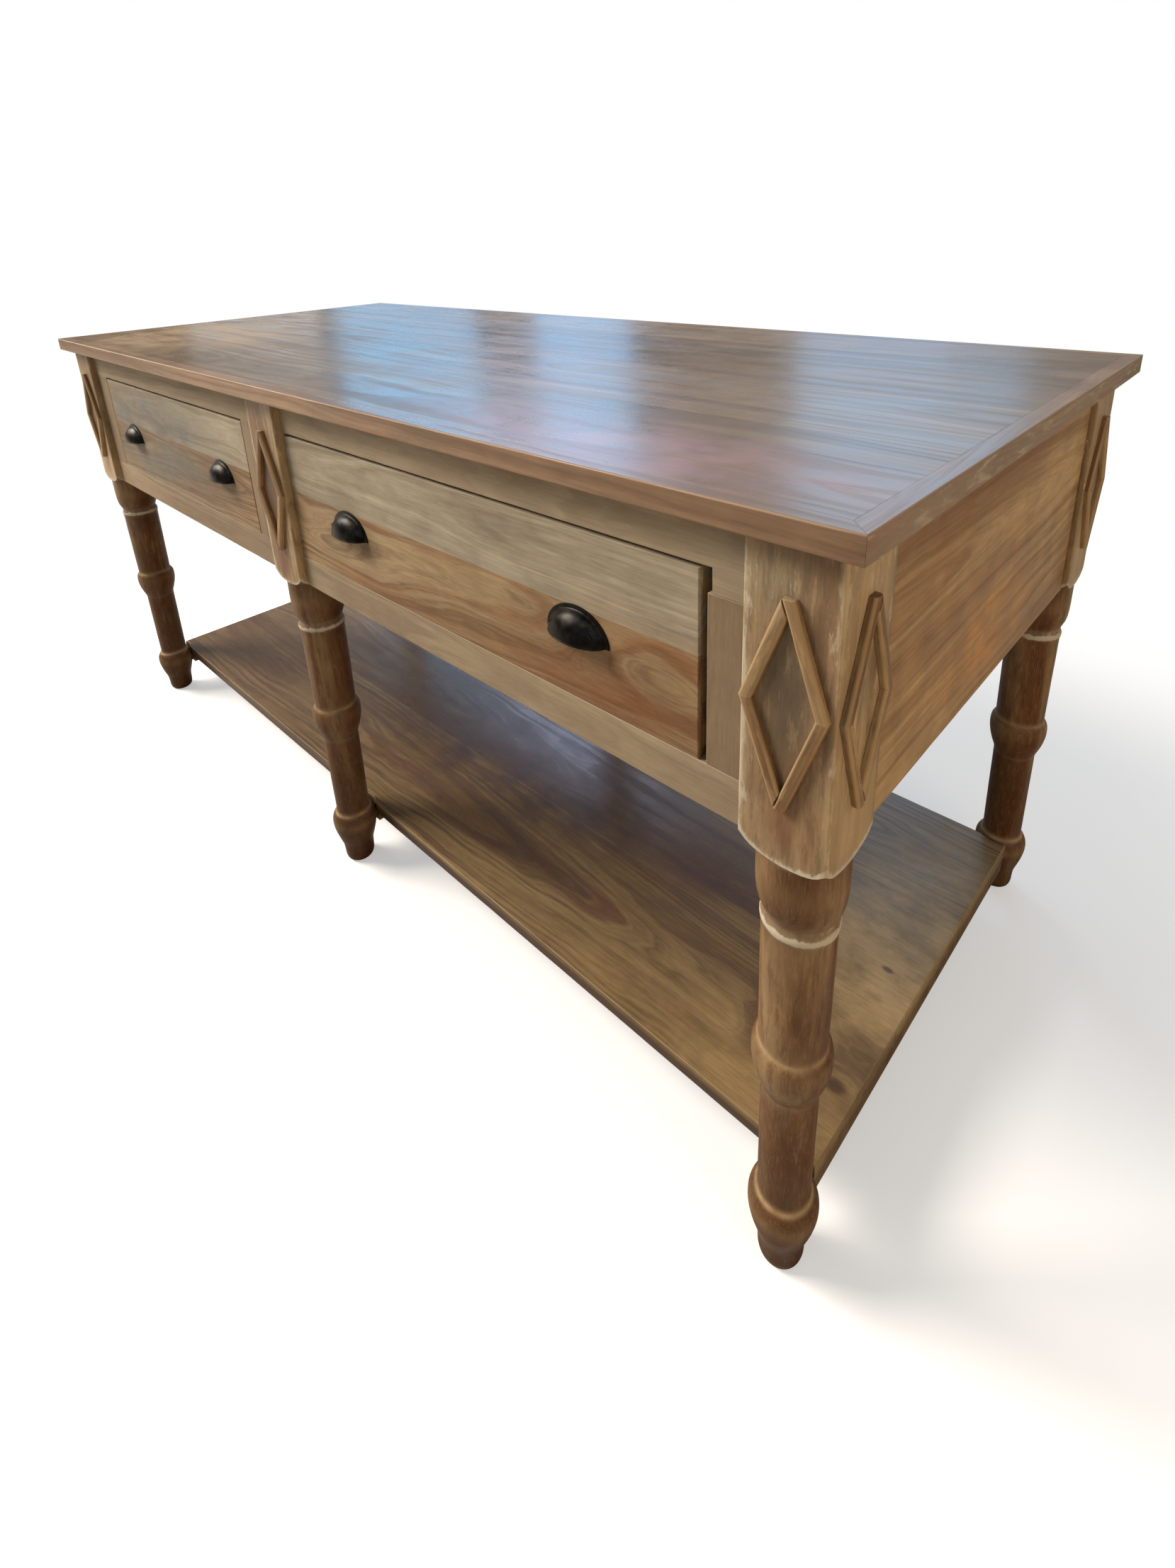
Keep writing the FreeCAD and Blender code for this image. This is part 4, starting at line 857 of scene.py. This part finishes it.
def cup_shells(x, y, z):
    """A cup pull by turn round its arch and by its section: up the flange's edge, across it, through a
    fillet onto a quarter ellipsoid, over it, and back along the inner ellipsoid a wall's thickness in. A
    bead follows the lower front edge, and two posts stand inside."""
    turn = np.radians(np.linspace(0, 180, 49))[None, :]
    dome = np.array([PULL_HALF_WIDTH - PULL_FLANGE, PULL_PROJECTION, PULL_HEIGHT - PULL_FLANGE])
    ease = 0.5 * MM
    fillet = np.linspace(0, 1, 5)[:, None]
    lift = np.arcsin((PULL_WALL + PULL_FILLET) / dome[1])
    over = np.linspace(lift, np.pi / 2, 18)[1:, None]
    under = np.linspace(np.pi / 2, 0.0, 16)[:, None]
    # Share of the way from the dome's foot to the flange's edge, and depth, of the flange's rows
    out = np.array([1, 1, 1 - 0.3 * ease / PULL_FLANGE, 1 - ease / PULL_FLANGE, PULL_FILLET / PULL_FLANGE])
    depth = np.array([0, PULL_WALL - ease, PULL_WALL - 0.3 * ease, PULL_WALL, PULL_WALL])[:, None]
    blend_out = PULL_FILLET * (1 - np.sin(fillet * np.pi / 2)) + (np.cos(lift) - 1) * dome[0] * fillet
    blend_depth = PULL_WALL + PULL_FILLET * (1 - np.cos(fillet * np.pi / 2))
    inner = dome - PULL_WALL
    rows_wide, rows_tall = (
        np.concatenate([dome[k] + out[:, None] * PULL_FLANGE, dome[k] + blend_out[1:],
                        dome[k] * np.cos(over), inner[k] * np.cos(under)]) for k in (0, 2))
    rows_deep = np.concatenate([depth, blend_depth[1:], dome[1] * np.sin(over), inner[1] * np.sin(under)])
    points = np.stack([rows_wide * np.cos(turn), -rows_deep + 0 * turn, rows_tall * np.sin(turn)], -1)
    rows, columns = points.shape[:2]
    faces = grid_faces(rows, columns, wrapped=False).tolist()
    first = np.arange(columns - 1)
    last = (rows - 1) * columns + first
    faces += np.stack([first, first + 1, last + 1, last], 1).tolist()
    ends = np.arange(rows) * columns
    faces += [ends.tolist(), (ends + columns - 1).tolist()[::-1]]
    forms = [(points, faces)]
    around = np.radians(np.linspace(0, 360, 12, endpoint=False))[None, :]
    path = turn.T
    core = dome - PULL_WALL / 2
    bead = np.stack([(core[0] + PULL_BEAD * np.cos(around)) * np.cos(path),
                     -(core[1] + PULL_BEAD * np.cos(around)) * np.sin(path),
                     PULL_BEAD * (0.8 + np.sin(around)) + 0 * path], -1)
    forms.append((bead, capped(bead)))
    reach = np.array([0, 1, 1])[:, None] * POST_LENGTH
    girth = np.array([1, 1, 0.96])[:, None] * POST_RADIUS
    for side in (-1, 1):
        post = np.stack([side * POST_OFFSET + girth * np.cos(around), -reach + 0 * around,
                         POST_RISE + girth * np.sin(around)], -1)
        forms.append((post, capped(post)))
    return [{"points": grid.reshape(-1, 3) + (x, y, z), "faces": shell} for grid, shell in forms]


for drawer in ("left", "right"):
    for side in ("left", "right"):
        node = f"drawer_{drawer}_pull_{side}"
        low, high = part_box(node)
        shells = cup_shells((low.x + high.x) / 2, high.y, low.z)
        put_piece(f"cup_{drawer}_{side}", shells, iron, f"drawer_{drawer}", [node])


# CAD pieces that stay: each material, and words in the names of the nodes that get it

KEPT = (
    (upper_front_wood, ("front_upper",)),
    (lower_front_wood, ("front_lower",)),
    (inner_deep_wood, ("_side_", "runners", "kickers", "drawer_stops", "centre_partition")),
    (under_wood, ("shelf_bearers",)),
    (inner_long_wood, ("_back", "_bottom", "top_battens")),
    (steel, ("screws",)),
)
for name, node in nodes.items():
    for material, words in KEPT:
        if not node.hide_render and any(word in name for word in words):
            for held in node.material_slots:
                held.material = material


# Camera

yaw, pitch, roll = np.radians([CAMERA_YAW, CAMERA_PITCH, CAMERA_ROLL])
forward = np.array([np.sin(yaw) * np.cos(pitch), np.cos(yaw) * np.cos(pitch), np.sin(pitch)])
level = np.cross(forward, (0, 0, 1))
level /= np.linalg.norm(level)
upward = np.cross(level, forward)
right = np.cos(roll) * level + np.sin(roll) * upward
up = np.cos(roll) * upward - np.sin(roll) * level
optics = bpy.data.cameras.new("camera")
optics.sensor_width = SENSOR
optics.lens = FOCAL_PIXELS / PHOTO_HEIGHT * SENSOR
optics.shift_x = (PHOTO_WIDTH / 2 - CENTRE_PIXEL[0]) / PHOTO_HEIGHT
optics.shift_y = (CENTRE_PIXEL[1] - PHOTO_HEIGHT / 2) / PHOTO_HEIGHT
optics.clip_start = 0.05
camera = new_object("camera", optics)
turned = Matrix(np.column_stack([right, up, -forward]).tolist()).to_4x4()
camera.matrix_world = Matrix.Translation(CAMERA_PLACE) @ turned
bpy.context.scene.camera = camera


# Light: a pale room, a key lamp and a wide side lamp at the left, a low fill at the right, a small lamp for
# the pulls' highlights, and cool panels behind the table, which the top and the shelf mirror as windows


def softbox(name, place, aim, width, height, radiance, colour, mirrored=True):
    """An area lamp that faces a point. Its power is radiance times area times pi."""
    lamp = bpy.data.lights.new(name, "AREA")
    lamp.shape = "RECTANGLE"
    lamp.size, lamp.size_y = width, height
    lamp.energy = radiance * width * height * np.pi
    lamp.color = linear(colour)[:3]
    holder = new_object(name, lamp)
    holder.rotation_mode = "QUATERNION"
    holder.rotation_quaternion = (Vector(aim) - Vector(place)).to_track_quat("-Z", "Y")
    holder.location = place
    holder.visible_camera = False
    holder.visible_glossy = mirrored


# Each window's start and end along x, its low and high edge, radiance and colour
WINDOW_WALL_Y = 2.5
WINDOWS = (
    (-5.1, -3.2, 0.95, 1.45, 0.8, "#86c4ff"),
    (-5.1, -3.2, 1.45, 1.95, 1.6, "#84c8f6"),
    (-5.1, -3.2, 1.95, 2.60, 4.4, "#84c8f6"),
    (-2.6, -1.8, 0.95, 1.45, 1.3, "#8cc6ff"),
    (-2.6, -1.8, 1.45, 2.40, 2.5, "#84c8f6"),
    (-0.75, -0.05, 1.10, 1.50, 1.0, "#9cccff"),
    (-0.75, 0.26, 1.42, 2.60, 2.2, "#8ccaf8"),
    (-3.30, -1.70, 2.50, 3.60, 9.0, "#c8d8ff"),
    (-8.50, -5.40, 0.95, 2.10, 1.3, "#e4ecf2"),
)
for k, (start, end, low, high, radiance, colour) in enumerate(WINDOWS):
    x, z = (start + end) / 2, (low + high) / 2
    softbox(f"window_{k + 1}", (x, WINDOW_WALL_Y, z), (x, 0, z), end - start, high - low, radiance, colour)
softbox("key", (-6.2, -4.3, 6.6), (0.4, -0.2, 0.6), 3.6, 3.2, 38.0, "#fff3e4")
softbox("side", (-8.0, -1.6, 3.6), (0.0, -0.2, 0.6), 5.0, 4.0, 6.2, "#fff3e4", mirrored=False)
softbox("glint", (-6.4, -3.0, 3.2), (0.5, -0.4, 0.7), 1.8, 1.8, 9.0, "#fff3e4")
softbox("fill", (3.2, -0.9, 1.0), (0.8, 0, 0.5), 1.6, 1.2, 5.4, "#ffdfb4", mirrored=False)

# World: a grey room that is paler above, but white for the camera and where it is mirrored up at the right
world = bpy.data.worlds.new("room")
bpy.context.scene.world = world
world.use_nodes = True
tree = world.node_tree
tree.nodes.clear()
ray = add(tree, "LightPath").outputs
sideways, _, upwards = add(tree, "SeparateXYZ", [add(tree, "TexCoord").outputs["Generated"]]).outputs
above = add(tree, "MapRange", [upwards, 0.16, 0.42], **SOFT)
room = add(tree, "Mix", {0: above, 6: linear("#5c5956"), 7: linear("#9fa3a5")}, data_type="RGBA")
beside = add(tree, "MapRange", [sideways, -0.75, -0.45], **SOFT)
bright = add(tree, "Math", [beside, above], **TIMES)
mirrored = add(tree, "Math", [ray["Is Glossy Ray"], bright], **TIMES)
direct = add(tree, "Math", [ray["Is Camera Ray"], ray["Is Transmission Ray"]], operation="MAXIMUM")
shown = add(tree, "Math", [direct, mirrored], operation="MAXIMUM")
seen = add(tree, "Mix", {0: shown, 6: room, 7: (1, 1, 1, 1)}, data_type="RGBA")
add(tree, "OutputWorld", {"Surface": add(tree, "Background", {"Color": seen, "Strength": 1.0})})

# Floor: pale paint for the camera, fading to the white background, and a duller floor for what it lights
FLOOR_HALF = 12.0
material, tree = new_material("pale_floor_paint")
ray = add(tree, "LightPath").outputs
paint = add(tree, "Mix", {0: ray["Is Camera Ray"], 6: linear("#989086"), 7: linear("#ffffff")},
            data_type="RGBA")
painted = add(tree, "BsdfPrincipled", {"Base Color": paint, "Roughness": 0.8})
reach = add(tree, "VectorMath", [add(tree, "TexCoord").outputs["Object"]], operation="LENGTH")
fade = add(tree, "MapRange", [reach, 1.1, 2.4, 0.4], **SOFT)
share = add(tree, "Math", [fade, ray["Is Camera Ray"]], **TIMES)
white = add(tree, "Emission", {"Color": (1, 1, 1, 1), "Strength": 1.0})
add(tree, "OutputMaterial", {"Surface": add(tree, "MixShader", [share, painted, white])})
mesh = bpy.data.meshes.new("floor")
corners = [(x * FLOOR_HALF, y * FLOOR_HALF, 0) for x, y in ((-1, -1), (1, -1), (1, 1), (-1, 1))]
mesh.from_pydata(corners, [], [(0, 1, 2, 3)])
mesh.materials.append(material)
new_object("floor", mesh)

bpy.context.scene.view_settings.view_transform = "Standard"
